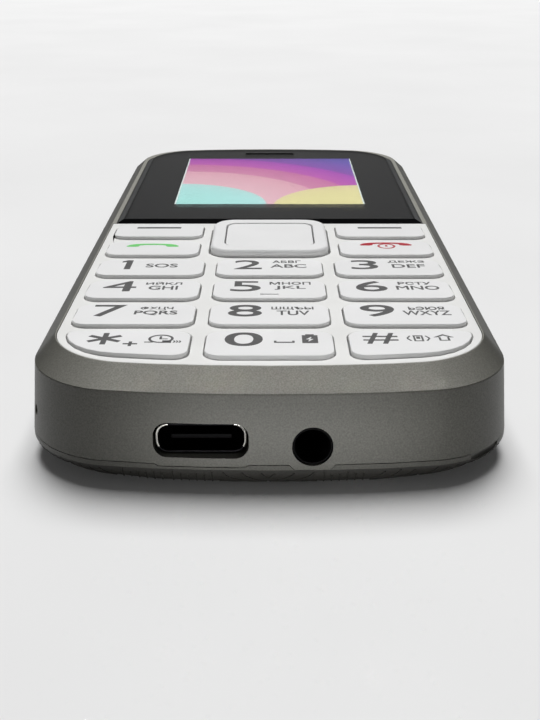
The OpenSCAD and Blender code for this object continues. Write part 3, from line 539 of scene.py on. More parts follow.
def buildShell():
    bm = bmesh.new()
    foot = bowFace(bm, shell["parting"], shell["partingZ"] - shell["skirt"])
    foot = pull(bm, foot, (0, 0, shell["skirt"]))
    wide, long = shell["parting"]["halfWidth"], shell["parting"]["halfLength"]
    edgeX, edgeY = shell["edgeSize"]
    rimX, rimY = shell["rimSize"]
    deep, tall = shell["groove"]
    inward = ((edgeX - deep) / edgeX, (edgeY - deep) / edgeY)
    top = pull(bm, foot, (0, 0, shell["edgeZ"] - tall - shell["partingZ"]), (edgeX / wide, edgeY / long))
    top = pull(bm, top, (0, 0, 0), inward)
    top = pull(bm, top, (0, 0, tall))
    top = pull(bm, top, (0, 0, 0), (1 / inward[0], 1 / inward[1]))
    slopeFoot = list(top.edges)
    deck = pull(bm, top, (0, 0, shell["deckZ"] - shell["edgeZ"]), (rimX / edgeX, rimY / edgeY))
    rim = list(deck.edges)
    softenEdges(bm, slopeFoot, shell["slopeEdge"], 4)
    softenEdges(bm, [e for e in rim if e.is_valid], shell["rimEdge"], 2)
    piece = toObject(bm, "front_shell")
    usbHole = bmesh.new()
    stadium(usbHole, usb["fit"], *cuts["nearWall"])
    above, nearY, wallY = cuts["above"], shell["lensNearY"], cuts["nearWall"]
    carve(piece, partingCuts() + [
        prismOf("cavity", shell["cavity"], cuts["below"], shell["ceilingZ"]),
        prismOf("plateSeat", shell["opening"], shell["plateZ"], above, nearY, -1),
        prismOf("plateWindow", shell["ledge"], *cuts["deck"], nearY - shell["ledgeWidth"], -1),
        prismOf("lensSeat", shell["lensPocket"], shell["lensZ"], above, nearY, 1),
        blockOf("lcdHole", *shell["lcdHole"].values(), *cuts["deck"]),
        slotBlock("slotHole", earSlot["seatRim"], earSlot["seatCorner"], earSlot["seatZ"], above),
        slotBlock("soundHole", 0, earSlot["corner"], *cuts["deck"]),
        toObject(usbHole, "usbHole"),
        rodOf("jackHole", (jack["x"], wallY[0], jack["z"]), (0, 1, 0), jack["hole"], wallY[1] - wallY[0]),
        rodOf("micHole", mic["centre"], (math.cos(mic["turn"]), math.sin(mic["turn"]), 0),
              mic["hole"], mic["length"]),
    ])
    dress(piece, "phone", ["front_housing"], greyPaint)


buildShell()
print("front shell done")


# Back cover: a plain lip, a rounded ribbed edge and a flat floor with the loudspeaker slots

cover = {
    "topZ": 3.11, "lipZ": 2.6, "floor": 1.2, "edgeReach": 3.6, "flatFrom": 11, "innerReach": 3.0,
    "lipStep": 0.1, "rim": 1.35, "rings": 9, "skinGap": 0.01,
    "cornerRise": 0.95, "riseFrom": (8, 42), "riseTo": (20.5, 54),  # the underside turns up towards the corners
    "notch": {"centre": (15.35, -47.91, 2.89), "reach": 10.04, "radius": 0.75, "length": 4.6},
    "slots": {"count": 5, "pitch": 2.0, "width": 9, "length": 1, "corner": 0.45, "y": 23.15},
    "tabs": {"x": 22.84, "thick": 0.7, "width": 5, "top": 4.4, "foot": 2.1, "edge": 0.12,
             "ys": (-35.19, 0, 35.19)},
    "dipTop": 0.5,
}
# fine ribs in columns: leaning one way, along the phone, leaning the other way
ribs = {
    "pitch": 0.75, "column": 5.08, "gap": 0.3, "leans": (1, 1, 0, 0, 1, -1, 0, -1, -1, -1), "angle": 22,
    "radius": 0.17, "proud": 0.1, "step": 0.12, "keepRise": 0.1,
    "shortest": 0.68, "steepest": -0.05, "lipGap": 0.12,
}


def riseCorners(bm):
    # lift the underside towards the four corners, most at its lowest points
    deepest = cover["lipZ"] - ribs["proud"]
    for v in bm.verts:
        depth = cover["lipZ"] - v.co.z
        if depth > cover["skinGap"]:
            shares = [(abs(c) - start) / (end - start) for c, start, end in
                      zip(v.co, cover["riseFrom"], cover["riseTo"])]
            across, along = [max(0, min(1, s)) for s in shares]
            v.co.z += cover["cornerRise"] * across ** 2 * along * depth / deepest


def coverCutters():
    notch, slots, topZ = cover["notch"], cover["slots"], cover["topZ"]
    outward, along = Vector((1, -1, 0)).normalized(), Vector((1, 1, 0)).normalized()
    start = Vector(notch["centre"]) + outward * notch["reach"] - along * notch["length"] / 2
    cutters = [rodOf("notchCut", start, along, notch["radius"], notch["length"])]
    for i in range(slots["count"]):
        y = slots["y"] + (i - (slots["count"] - 1) / 2) * slots["pitch"]
        cutters.append(blockOf("slotCut%d" % i, 0, y, slots["width"], slots["length"], slots["corner"],
                               *cuts["coverFloor"]))
    for x, half, drop in dips:
        low, high = topZ - drop, topZ + cover["dipTop"]
        flare = half + dipSlope * (high - low) / drop
        points = [(x - half, low), (x + half, low), (x + flare, high), (x - flare, high)]
        cutters.append(acrossBlock("dipCut", points, *cuts["nearWall"]))
    return cutters


def buildCover():
    bm = bmesh.new()
    topZ, lipZ, step, reach = [cover[name] for name in ("topZ", "lipZ", "lipStep", "edgeReach")]
    parting = shell["parting"]
    wide, long = parting["halfWidth"], parting["halfLength"]
    hollow = bowFace(bm, parting, topZ)
    under = pull(bm, hollow, (0, 0, lipZ - topZ))
    inset, z = 0, lipZ
    profile = [(step, lipZ)]
    for i in range(1, cover["rings"] + 1):
        turn = quarterTurn * i / cover["rings"]
        profile.append((step + (reach - step) * (1 - math.cos(turn)),
                        ribs["proud"] + (lipZ - ribs["proud"]) * (1 - math.sin(turn))))
    profile.append((cover["flatFrom"], ribs["proud"]))
    for nextInset, nextZ in profile:
        size = ((wide - nextInset) / (wide - inset), (long - nextInset) / (long - inset))
        under = pull(bm, under, (0, 0, nextZ - z), size)
        inset, z = nextInset, nextZ
    riseCorners(bm)
    # hollow the inside from the top face
    bmesh.ops.inset_region(bm, faces=[hollow], thickness=cover["rim"], use_even_offset=True)
    floorFace = pull(bm, hollow, (0, 0, lipZ - topZ))
    pull(bm, floorFace, (0, 0, cover["floor"] - lipZ),
         [1 - cover["innerReach"] / (half - cover["rim"]) for half in (wide, long)])
    piece = toObject(bm, "back_cover")
    carve(piece, coverCutters())
    bm = reopen(piece)
    buildRibs(BVHTree.FromBMesh(bm))
    tab = cover["tabs"]
    for side in (-1, 1):
        for y in tab["ys"]:
            place = (side * (tab["x"] - tab["thick"] / 2), y, (tab["top"] + tab["foot"]) / 2)
            addBlock(bm, place, (tab["thick"], tab["width"], tab["top"] - tab["foot"]), tab["edge"])
    putBack(bm, piece)
    dress(piece, "battery_cover", ["battery_cover"], coverPaint)
    piece.data.materials.append(shadedUndersidePaint)  # painted shade: below the lip the skin takes a darker copy of the paint, standing in for the shade under the phone
    for face in piece.data.polygons:
        if face.center.z / mm < lipZ - cover["skinGap"] and face.normal.z < -ribs["steepest"]:
            face.material_index = 1


def ribLines():
    # ends of the straight ribs, seen from above
    halfX, halfY = shell["parting"]["halfWidth"], shell["parting"]["halfLength"]
    lean = math.radians(ribs["angle"])
    lines = []
    for i in range(math.ceil(2 * halfX / ribs["column"])):
        x0 = -halfX + i * ribs["column"]
        x1 = x0 + ribs["column"] - ribs["gap"]
        way = ribs["leans"][i % len(ribs["leans"])]
        if way == 0:
            count = int((x1 - x0) / ribs["pitch"])
            xs = [x0 + (j + 0.5) * (x1 - x0) / count for j in range(count)]
            lines += [((x, -halfY), (x, halfY)) for x in xs]
        else:
            rise = way * (x1 - x0) * math.tan(lean)
            spacing = ribs["pitch"] / math.cos(lean)
            count = int((2 * halfY + abs(rise)) / spacing)
            ys = [-halfY - max(rise, 0) + (j + 0.5) * spacing for j in range(count)]
            lines += [((x0, y), (x1, y + rise)) for y in ys]
    return [[Vector((x, y, cuts["below"])) for x, y in line] for line in lines]


def buildRibs(coverSkin):
    # each rib is a thin bar laid on the cover's outer skin, with points only where the skin curves
    curve = bpy.data.curves.new("ribs", "CURVE")
    curve.dimensions = "3D"
    curve.twist_mode = "Z_UP"
    curve.bevel_depth = ribs["radius"]
    curve.bevel_resolution = 0
    curve.use_fill_caps = True
    upReach = cover["lipZ"] - cuts["below"] - ribs["lipGap"]
    for start, end in ribLines():
        count = max(2, int((end - start).length / ribs["step"]))
        runs, last = [[]], None
        for j in range(count + 1):
            spot, normal = coverSkin.ray_cast(start.lerp(end, j / count), Vector((0, 0, 1)), upReach)[:2]
            if spot is None or normal.z > ribs["steepest"]:
                if last is not None:
                    runs[-1].append(last)
                    runs.append([])
                last = None
                continue
            spot = spot - normal * (ribs["radius"] - ribs["proud"])
            if not runs[-1] or abs(spot.z - runs[-1][-1].z) > ribs["keepRise"]:
                runs[-1].append(spot)
            last = spot
        if last is not None:
            runs[-1].append(last)
        for run in runs:
            if len(run) > 1 and (run[-1] - run[0]).length > ribs["shortest"]:
                spline = curve.splines.new("POLY")
                spline.points.add(len(run) - 1)
                for point, spot in zip(spline.points, run):
                    point.co = (*spot, 1)
    draft = addToScene("draft", curve)
    mesh = finalMesh(draft)
    bpy.data.objects.remove(draft)
    bm = bmesh.new()
    bm.from_mesh(mesh)
    bpy.data.meshes.remove(mesh)
    bmesh.ops.remove_doubles(bm, verts=bm.verts[:], dist=0.002)  # joins the end caps to the bars
    # the ribs take the darker copy of the paint too, a painted shade
    dress(toObject(bm, "back_ribs"), "battery_cover", [], shadedUndersidePaint)


buildCover()
print("back cover done")


# Keys: wedge caps with soft edges, a flange under the plate and a stem

keyForm = {
    "flange": 0.35, "flangeThick": 0.6, "stemRadius": 1.6, "stemTaper": 0.1, "stemLength": 0.7, "corner": 1.8,
    "edge": 0.09, "nearRise": 0.45, "farRise": 0.12, "length": 7.6, "plateTop": 12.425, "flangeZ": 10.575,
    "capFoot": 0.3,
}
# bounds the outer keys of the lowest row
cornerDeck = {"halfWidth": 21.6, "halfLength": 54.0, "corner": 7.0, "bow": 105, "steps": 6, "sideRound": 0.9}
keyTip = math.atan((keyForm["nearRise"] - keyForm["farRise"]) / keyForm["length"])
keyMidZ = keyForm["plateTop"] + (keyForm["nearRise"] + keyForm["farRise"]) / 2


def keyBox(node):
    # the cap without its hidden flange
    low, high, middle = nodeBox(node)
    rim = Vector((keyForm["flange"], keyForm["flange"], 0))
    return low + rim, high - rim, middle


def keyOutline(node, grow):
    # points and rounded corners of a key, moved outward by grow
    low, high, middle = keyBox(node)
    corner = keyForm["corner"]
    if node not in ("key_star", "key_hash"):
        points = rectPoints(middle.x, middle.y, high.x - low.x + 2 * grow, high.y - low.y + 2 * grow)
        return points, [(i, corner + grow) for i in range(4)]
    side = 1 if node == "key_hash" else -1
    inner = min(abs(low.x), abs(high.x)) - grow
    far = high.y + grow
    radius = cornerDeck["corner"] + grow
    deck = {"halfLength": cornerDeck["halfLength"] + grow, "bow": cornerDeck["bow"] + grow}
    cx = cornerDeck["halfWidth"] - cornerDeck["corner"]
    cy = deck["halfLength"] - deck["bow"] + math.sqrt((deck["bow"] - radius) ** 2 - cx * cx)
    first = math.asin((far + cy) / radius)
    last = -math.atan2(cy - deck["halfLength"] + deck["bow"], cx)
    points = [(inner, -endY(deck, inner)), (inner, far)]
    for i in range(cornerDeck["steps"] + 1):
        turn = first + (last - first) * i / cornerDeck["steps"]
        points.append((cx + radius * math.cos(turn), -cy + radius * math.sin(turn)))
    points.append((cx * 0.8, -endY(deck, cx * 0.8)))
    return [(side * x, y) for x, y in points], [(0, corner), (1, corner), (2, cornerDeck["sideRound"])]


def buildKey(node):
    middle = keyBox(node)[2]
    bm = bmesh.new()
    points, rounds = keyOutline(node, 0)
    flangeZ = keyForm["flangeZ"]
    footZ = flangeZ + keyForm["capFoot"]
    cap = pull(bm, pointFace(bm, points, footZ, rounds), (0, 0, keyMidZ - footZ))
    for v in cap.verts:
        v.co.z -= (v.co.y - middle.y) * math.tan(keyTip)
    softenEdges(bm, cap.edges, keyForm["edge"], 4)
    points, rounds = keyOutline(node, keyForm["flange"])
    pull(bm, pointFace(bm, points, flangeZ, rounds), (0, 0, keyForm["flangeThick"]))
    addStem(bm, middle.x, middle.y, flangeZ - keyForm["stemLength"], flangeZ,
            keyForm["stemRadius"] - keyForm["stemTaper"], keyForm["stemRadius"])
    dress(toObject(bm, "cap_" + node), node, [node], keyAbs)


digitKeys = ["key_" + sign for sign in ("1", "2", "3", "4", "5", "6", "7", "8", "9", "star", "0", "hash")]
sideKeys = ["soft_key_left", "soft_key_right", "call_key", "end_key"]
for node in digitKeys + sideKeys:
    buildKey(node)
print("keys done")


# Navigation ring and the pad inside it

nav = {"y": -9.67, "width": 15.75, "length": 16.05, "corner": 3, "low": 11.225, "top": 13.425, "edge": 0.5,
       "padWidth": 11.7, "padLength": 11.4, "padCorner": 1.5, "padFit": 0.22, "padTop": 13.33, "padEdge": 0.06,
       "holeEdge": 0.05, "padSkirt": 0.05, "skirtTop": 13.1, "fit": 0.3, "stemZ": 9.875, "stem": (1.5, 1.6)}


def padFace(bm, grow, z):
    # outline of the pad, grown all round
    return roundRect(bm, 0, nav["y"], nav["padWidth"] + 2 * grow, nav["padLength"] + 2 * grow,
                     nav["padCorner"] + grow, z)


def buildNav():
    low, tall = nav["low"], nav["top"] - nav["low"]
    bm = bmesh.new()
    top = pull(bm, roundRect(bm, 0, nav["y"], nav["width"], nav["length"], nav["corner"], low), (0, 0, tall))
    softenEdges(bm, top.edges, nav["edge"], 5)
    ring = toObject(bm, "nav_frame")
    hole = bmesh.new()
    holeLow, holeHigh = cuts["keys"]
    pull(hole, padFace(hole, nav["padFit"], holeLow), (0, 0, holeHigh - holeLow))
    carve(ring, [toObject(hole, "padHole")])
    bm = reopen(ring)
    halfX, halfY = nav["padWidth"] / 2 + nav["edge"], nav["padLength"] / 2 + nav["edge"]
    inner = [e for e in bm.edges if all(abs(v.co.z - nav["top"]) < levelGap and abs(v.co.x) < halfX
                                        and abs(v.co.y - nav["y"]) < halfY for v in e.verts)]
    softenEdges(bm, inner, nav["holeEdge"], 2)
    putBack(bm, ring)
    dress(ring, "nav_ring", ["nav_ring"], keyAbs)
    bm = bmesh.new()
    pad = pull(bm, padFace(bm, nav["padSkirt"], low), (0, 0, nav["skirtTop"] - low))
    narrow = [side / (side + 2 * nav["padSkirt"]) for side in (nav["padWidth"], nav["padLength"])]
    pad = pull(bm, pad, (0, 0, 0), narrow, (0, nav["y"]))
    pad = pull(bm, pad, (0, 0, nav["padTop"] - nav["skirtTop"]))
    softenEdges(bm, pad.edges, nav["padEdge"], 3)
    addStem(bm, 0, nav["y"], nav["stemZ"], low, *nav["stem"])
    dress(toObject(bm, "ok_pad"), "ok_key", ["ok_key"], keyAbs)


buildNav()
print("navigation key done")


# White plate round the keys

plate = {
    "outline": {"halfWidth": 22.79, "halfLength": 55.19, "corner": 8.94, "bow": 129.94},
    "low": 11.225, "top": 12.425, "farY": -0.47, "keyFit": 0.16, "edge": 0.1, "sharpAngle": 20,
}


def sharpEdges(bm, axis, level):
    # square edges that lie at one level along an axis
    return [e for e in bm.edges if all(abs(v.co[axis] - level) < levelGap for v in e.verts)
            and e.calc_face_angle(0) > 1]


def buildPlate():
    piece = prismOf("key_plate", plate["outline"], plate["low"], plate["top"], plate["farY"], -1)
    low, high = cuts["keys"]
    cutters = []
    for node in digitKeys + sideKeys:
        bm = bmesh.new()
        points, rounds = keyOutline(node, plate["keyFit"])
        pull(bm, pointFace(bm, points, low, rounds), (0, 0, high - low))
        cutters.append(toObject(bm, "hole_" + node))
    fit = nav["fit"]
    cutters.append(blockOf("navHole", 0, nav["y"], nav["width"] + 2 * fit, nav["length"] + 2 * fit,
                           nav["corner"] + fit, low, high))
    carve(piece, cutters)
    bm = reopen(piece)
    softenEdges(bm, sharpEdges(bm, 2, plate["top"]), plate["edge"], 2)
    putBack(bm, piece)
    dress(piece, "phone", ["keypad_plate"], plateAbs, plate["sharpAngle"])


buildPlate()
print("key plate done")


# Window over the screen, with the black print under it

window = {
    "outline": {"halfWidth": 22.3, "halfLength": 53.2, "corner": 8.45, "bow": 129.45},
    "nearY": -0.35, "low": 11.725, "shoulder": 12.425, "top": 12.925,
    "slopeX": 0.95, "slopeY": 0.7, "edge": 0.06,
    "print": {"low": 11.6, "top": 11.7, "inset": 0.12, "corner": 0.05},
}


def buildWindow():
    outline = window["outline"]
    bm = bmesh.new()
    bowFace(bm, outline, window["low"])
    keepFar(bm, window["nearY"], 1)
    shoulder = pull(bm, bm.faces[:][0], (0, 0, window["shoulder"] - window["low"]))
    middleY = (window["nearY"] + outline["halfLength"]) / 2
    half = outline["halfLength"] - middleY
    size = (1 - window["slopeX"] / outline["halfWidth"], 1 - window["slopeY"] / half)
    lowEdges = list(shoulder.edges)
    top = pull(bm, shoulder, (0, 0, window["top"] - window["shoulder"]), size, (0, middleY))
    softenEdges(bm, lowEdges + list(top.edges), window["edge"], 2)
    lens = toObject(bm, "window")
    carve(lens, [slotBlock("earSlot", 0, earSlot["corner"], *cuts["window"])])
    dress(lens, "phone", ["display_lens"], acrylic)
    # painted shade and painted reflection: the walls and the end slopes are an opaque black standing in for
    # their shade, the side slopes an opaque grey standing in for what they reflect
    lens.data.materials.append(shadeEdgePaint)
    lens.data.materials.append(reflectionSlopePaint)
    for face in lens.data.polygons:
        if abs(face.normal.z) < 0.99:
            face.material_index = 2 if abs(face.normal.x) > abs(face.normal.y) and face.normal.z > 0.5 else 1
    under = window["print"]
    smaller = {name: size - under["inset"] for name, size in outline.items()}
    mask = prismOf("window_print", smaller, under["low"], under["top"], window["nearY"] + under["inset"])
    carve(mask, [
        blockOf("view", *picture["middle"], *picture["size"], under["corner"], *cuts["window"]),
        slotBlock("earHole", earSlot["maskRim"], earSlot["maskCorner"], *cuts["window"]),
    ])
    dress(mask, "phone", ["lens_tape"], blackMask)


buildWindow()
print("window done")


# USB socket: bright plated shell, tongue with gold pads

tongue = {"width": 6.1, "thick": 0.5, "front": 0.7, "back": 1.4, "edge": 0.12, "drop": 0.12,
          "plugInset": 0.35, "plugBack": 1.6, "plugLength": 1.5}
pads = {"count": 12, "pitch": 0.5, "width": 0.26, "length": 2.2, "thick": 0.04, "from": 3.3}


def buildTube(mouth, back):
    bm = bmesh.new()
    stadium(bm, 0, mouth, back)
    tube = toObject(bm, "usb_tube")
    bore = bmesh.new()
    stadium(bore, -usb["wall"], mouth - 1, back + 1)
    carve(tube, [toObject(bore, "bore")])
    bm = reopen(tube)
    softenEdges(bm, sharpEdges(bm, 1, mouth), usb["lip"], 4)
    for side in (-1, 1):
        for y in usb["legs"]:
            place = (usb["x"] + side * (usb["width"] - usb["wall"]) / 2, mouth + y + usb["legLength"] / 2,
                     (usb["z"] + usb["legTop"]) / 2)
            addBlock(bm, place, (usb["wall"], usb["legLength"], usb["legTop"] - usb["z"]))
    putBack(bm, tube)
    dress(tube, "phone", ["usb_shell"], nickel)
    tube.data.materials.append(shadedNickel)  # painted shade and painted reflection: the bore and the straight runs of the rim take a near-black copy of the nickel, standing in for the shade in the socket and the dark the rim reflects
    for face in tube.data.polygons:
        fromAxis = face.center / mm - Vector((usb["x"], 0, usb["z"]))
        flat = Vector((max(-usb["flatHalf"], min(usb["flatHalf"], fromAxis.x)), 0, 0))
        inside = face.normal.dot(fromAxis * Vector((1, 0, 1)) - flat) < -0.01
        straight = fromAxis.z < usb["shadeBelow"] or usb["shadeRun"][0] < fromAxis.x < usb["shadeRun"][1]
        if straight or (inside and face.center.y / mm > mouth + usb["lip"]):
            face.material_index = 1


def buildTongue(mouth, back):
    bm = bmesh.new()
    plugY = back - tongue["plugBack"]
    stadium(bm, -tongue["plugInset"], plugY, plugY + tongue["plugLength"])
    y0, y1 = mouth + tongue["front"], back - tongue["back"]
    z = usb["z"] - tongue["drop"]
    addBlock(bm, (usb["x"], (y0 + y1) / 2, z), (tongue["width"], y1 - y0, tongue["thick"]), tongue["edge"])
    dress(toObject(bm, "usb_tongue_bar"), "phone", ["usb_tongue"], blackNylon)
    bm = bmesh.new()
    for side in (-1, 1):
        for i in range(pads["count"]):
            x = usb["x"] + (i - (pads["count"] - 1) / 2) * pads["pitch"]
            place = (x, mouth + pads["from"] + pads["length"] / 2, z + side * tongue["thick"] / 2)
            addBlock(bm, place, (pads["width"], pads["length"], pads["thick"]))
    dress(toObject(bm, "usb_pads"), "phone", [], goldFlash)


for build in (buildTube, buildTongue):
    build(usb["mouth"], usb["mouth"] + usb["length"])
print("usb socket done")


# Headphone socket: black body with a thin nose that fills the hole in the wall

def buildJack():
    low, high, middle = nodeBox("audio_jack")
    bm = bmesh.new()
    front = jack["bodyY"]
    foot = roundRect(bm, middle.x, (front + high.y) / 2, high.x - low.x, high.y - front, jack["corner"], low.z)
    top = pull(bm, foot, (0, 0, high.z - low.z))
    softenEdges(bm, top.edges, jack["edge"], 2)
    body = toObject(bm, "jack_body")
    bore = jack["bore"]
    carve(body, [rodOf("plugBore", (jack["x"], front - 1, jack["z"]), (0, 1, 0), bore, jack["boreLength"] + 1)])
    bm = reopen(body)
    reach = front - jack["noseY"]
    known = set(bm.verts)
    section = [bm.verts.new((r, 0, z)) for r, z in (
        (bore, 0), (jack["nose"], 0), (jack["nose"], reach), (bore, reach))]
    edges = [bm.edges.new((section[i - 1], section[i])) for i in range(4)]
    bmesh.ops.spin(bm, geom=section + edges, axis=(0, 0, 1), angle=4 * quarterTurn, steps=48, use_merge=True)
    standUp(bm, [v for v in bm.verts if v not in known], (jack["x"], front, jack["z"]))
    mouth = [e for e in bm.edges if all(v.co.y < jack["noseY"] + 0.01 for v in e.verts)]
    softenEdges(bm, mouth, jack["lip"], 2)
    bmesh.ops.recalc_face_normals(bm, faces=bm.faces[:])
    putBack(bm, body)
    dress(body, "phone", ["audio_jack"], blackNylon)


buildJack()
print("headphone socket done")


# Print on the keys

printing = {
    "thick": 0.02, "sunk": 0.004,
    "digitY": 1.2, "digitHeight": 4.5, "digitBold": 0.065, "letterHeights": (1.2, 1.7), "letterBold": 0.04,
    # heights of the two lines of letters
    "lifts": {"123": (2.7, 0.52), "456": (2.5, 0.5), "789": (2.08, 0.32)},
}


def textInk(bm, text, x, y, width, height, bold=printing["letterBold"]):
    # a line of text fitted to a width and a height, its strokes thickened all round by bold
    curve = bpy.data.curves.new("letters", "FONT")
    curve.body = text
    letters = addToScene("letters", curve)
    flat = finalMesh(letters)
    bpy.data.objects.remove(letters)
    xs, ys = [[v.co[axis] for v in flat.vertices] for axis in (0, 1)]
    flat.transform(Matrix.Translation((-(min(xs) + max(xs)) / 2, -(min(ys) + max(ys)) / 2, 0)))
    flat.transform(Matrix.Diagonal(((width - 2 * bold) / (max(xs) - min(xs)),
                                    (height - 2 * bold) / (max(ys) - min(ys)), 1, 1)))
    flat.transform(Matrix.Translation((x, y, 0)))
    known, knownVerts = set(bm.faces), set(bm.verts)
    bm.from_mesh(flat)
    bpy.data.meshes.remove(flat)
    bmesh.ops.remove_doubles(bm, verts=[v for v in bm.verts if v not in knownVerts], dist=0.0005)
    faces = [f for f in bm.faces if f not in known]
    frill = bmesh.ops.inset_region(bm, faces=faces, thickness=-bold, use_boundary=True)["faces"]
    bmesh.ops.delete(bm, geom=frill, context="FACES")
    giveInk(bm, known)


def giveInk(bm, known):
    # thickness for the flat faces drawn since known was taken
    flat = [f for f in bm.faces if f not in known]
    bm.normal_update()
    if sum(f.normal.z * f.calc_area() for f in flat) < 0:
        bmesh.ops.reverse_faces(bm, faces=flat)
    grown = bmesh.ops.extrude_face_region(bm, geom=flat)["geom"]
    bmesh.ops.translate(bm, vec=(0, 0, printing["thick"]), verts=vertsOf(grown))


def pointInk(bm, points, x, y):
    known = set(bm.faces)
    pointFace(bm, [(x + a, y + b) for a, b in points], 0)
    giveInk(bm, known)


def barInk(bm, x, y, width, height, turn=0):
    corners = [Matrix.Rotation(math.radians(turn), 2) @ Vector(p) for p in rectPoints(0, 0, width, height)]
    pointInk(bm, corners, x, y)


def barsInk(bm, bars, x, y):
    for across, along, *form in bars:
        barInk(bm, x + across, y + along, *form)


def ringInk(bm, x, y, radius, band, start=0, sweep=360, stretch=1.0):
    # an arc of even width, drawn by spinning a short edge
    knownFaces, known = set(bm.faces), set(bm.verts)
    ends = [bm.verts.new((radius + half, 0, 0)) for half in (-band / 2, band / 2)]
    edge = bm.edges.new(ends)
    bmesh.ops.rotate(bm, verts=ends, matrix=Matrix.Rotation(math.radians(start), 3, "Z"))
    bmesh.ops.spin(bm, geom=ends + [edge], axis=(0, 0, 1), angle=math.radians(sweep),
                   steps=max(6, int(sweep / 12)), use_merge=sweep == 360)
    made = [v for v in bm.verts if v not in known]
    bmesh.ops.scale(bm, vec=(1, stretch, 1), verts=made)
    bmesh.ops.translate(bm, vec=(x, y, 0), verts=made)
    giveInk(bm, knownFaces)


def handsetInk(bm, x, y):
    # receiver seen from the side: a flat bow with a thick pad at each end
    half = shapes["handset"]
    pointInk(bm, half + [(-a, b) for a, b in half[-2:0:-1]], x, y)


def starInk(bm, x, y, reach, band):
    # six straight arms from one centre
    points = []
    for turn in range(0, 360, 60):
        arm = Matrix.Rotation(math.radians(turn), 2)
        points += [arm @ Vector(p) for p in ((band / 2, reach), (-band / 2, reach), (-band / 2, band * 0.866))]
    pointInk(bm, points, x, y)


def batteryInk(bm, x, y):
    # charged battery: a filled cell with a bolt left bare
    barsInk(bm, bars["battery"], x, y)
    for way in (1, -1):
        pointInk(bm, [(way * a, way * b) for a, b in shapes["cellHalf"]], x, y)


def clockInk(bm, x, y):
    # clock face with two hands on a foot, a speaker at its corner and sound arcs beside it
    ringInk(bm, x, y, 1.2, 0.28)
    barsInk(bm, bars["clock"], x, y)
    for i in range(3):
        ringInk(bm, x + 1.1 + 0.3 * i, y - 0.95, 0.4, 0.16, -50, 100)


# outlines of drawn signs, about the sign's middle
shapes = {
    "one": [(-0.12, -2.25), (0.67, -2.25), (0.67, 2.25), (0.05, 2.25),
            (-0.67, 1.75), (-0.67, 1.1), (-0.12, 1.35)],
    "handset": [(0, 0.76), (1.2, 0.72), (2.3, 0.55), (3.1, 0.1), (3.55, -0.6), (3.35, -0.95), (2.35, -1.0),
                (1.9, -0.8), (1.7, -0.2), (1.1, 0.0), (0, 0.06)],
    "cellHalf": [(-0.83, -0.74), (-0.22, -0.74), (-0.05, -0.1), (-0.45, -0.1), (0.1, 0.74), (-0.83, 0.74)],
    "arrowHead": [(-1.08, 0.1), (-0.68, 0.1), (0, 0.7), (0.68, 0.1), (1.08, 0.1), (0, 1.08)],
}
# bars of drawn signs: middle across and along, width, height, turn
bars = {
    "space": ((0, 0, 2.15, 0.32), (-0.95, 0.3, 0.26, 0.4), (0.95, 0.3, 0.26, 0.4)),
    "battery": ((0, -1.02, 1.66, 0.56), (0, 1.02, 1.66, 0.56), (0, 1.46, 0.9, 0.3)),
    "plus": ((0, 0, 1.5, 0.34), (0, 0.45, 0.34, 0.56), (0, -0.45, 0.34, 0.56)),
    "clock": ((-0.05, 0.4, 0.24, 0.8), (0.27, -0.06, 0.88, 0.2),
              (-1.2, -1.1, 0.9, 0.26), (0.68, -0.95, 0.96, 0.8)),
    "shake": ((-0.42, 0, 0.2, 1.9), (0.42, 0, 0.2, 1.9), (0, 0.84, 0.64, 0.22), (0, -0.84, 0.64, 0.22),
              (0, 0.2, 0.4, 0.7), (-1, -0.42, 0.18, 0.86, 24), (-1, 0.42, 0.18, 0.86, -24),
              (1, -0.42, 0.18, 0.86, -24), (1, 0.42, 0.18, 0.86, 24)),
    "shaft": ((-0.46, -0.44, 0.22, 1.1), (0.46, -0.44, 0.22, 1.1), (0, -0.9, 0.7, 0.2)),
}
# what is drawn on a key beside digits and letters: how, then its shape, place and size
signs = {
    "key_1": [(pointInk, shapes["one"], -3.25, 1.2), (textInk, "SOS", 1.3, 0.75, 4.05, 1.8)],
    "key_0": [(barsInk, bars["space"], 1.55, 0.15), (batteryInk, 4.25, 1.2)],
    "key_star": [(starInk, -2.42, 1.2, 1.9, 0.6), (barsInk, bars["plus"], 0.45, -0.5), (clockInk, 3.52, 1.15)],
    "key_hash": [(textInk, "#", -3.23, 1.3, 3.7, 3.6, 0.06), (barsInk, bars["shake"], 0.76, 1.3),
                 (barsInk, bars["shaft"], 3.47, 1.55), (pointInk, shapes["arrowHead"], 3.47, 1.55)],
    "soft_key_left": [(barInk, -0.22, 1.6, 6.25, 0.85)],
    "soft_key_right": [(barInk, 0.2, 1.6, 6.25, 0.85)],
    "call_key": [(handsetInk, -0.23, 1.5)],
    "end_key": [(handsetInk, 0.22, 2.2), (ringInk, 0.22, 0.85, 1.07, 0.28, 0, 360, 1.15),
                (barInk, 0.22, 1.05, 0.3, 0.8)],
}
# letters on a key: text, middle across the key, width
letterRows = {
    "key_2": (("АБВГ", 2.2, 3.65), ("ABC", 2.4, 4.6)), "key_3": (("ДЕЖЗ", 2.57, 4.75), ("DEF", 2.65, 4.2)),
    "key_4": (("ИЙКЛ", 2.25, 4.4), ("GHI", 2.3, 3.5)), "key_5": (("МНОП", 2.5, 5.0), ("JKL", 2.47, 3.75)),
    "key_6": (("РСТУ", 2.52, 4.0), ("MNO", 2.72, 5.15)), "key_7": (("ФХЦЧ", 2.25, 3.75), ("PQRS", 2.27, 4.85)),
    "key_8": (("ШЩЪЫ", 2.6, 4.8), ("TUV", 2.65, 3.7)), "key_9": (("ЬЭЮЯ", 2.77, 4.1), ("WXYZ", 2.62, 5.35)),
}
# digits: middle across the key, width
digitRows = {"2": (-2.73, 3.55), "3": (-2.93, 3.45), "4": (-2.93, 3.95), "5": (-2.88, 3.65), "6": (-2.78, 3.75),
             "7": (-3.08, 3.65), "8": (-2.75, 3.8), "9": (-2.83, 3.85), "0": (-2.7, 4.0)}


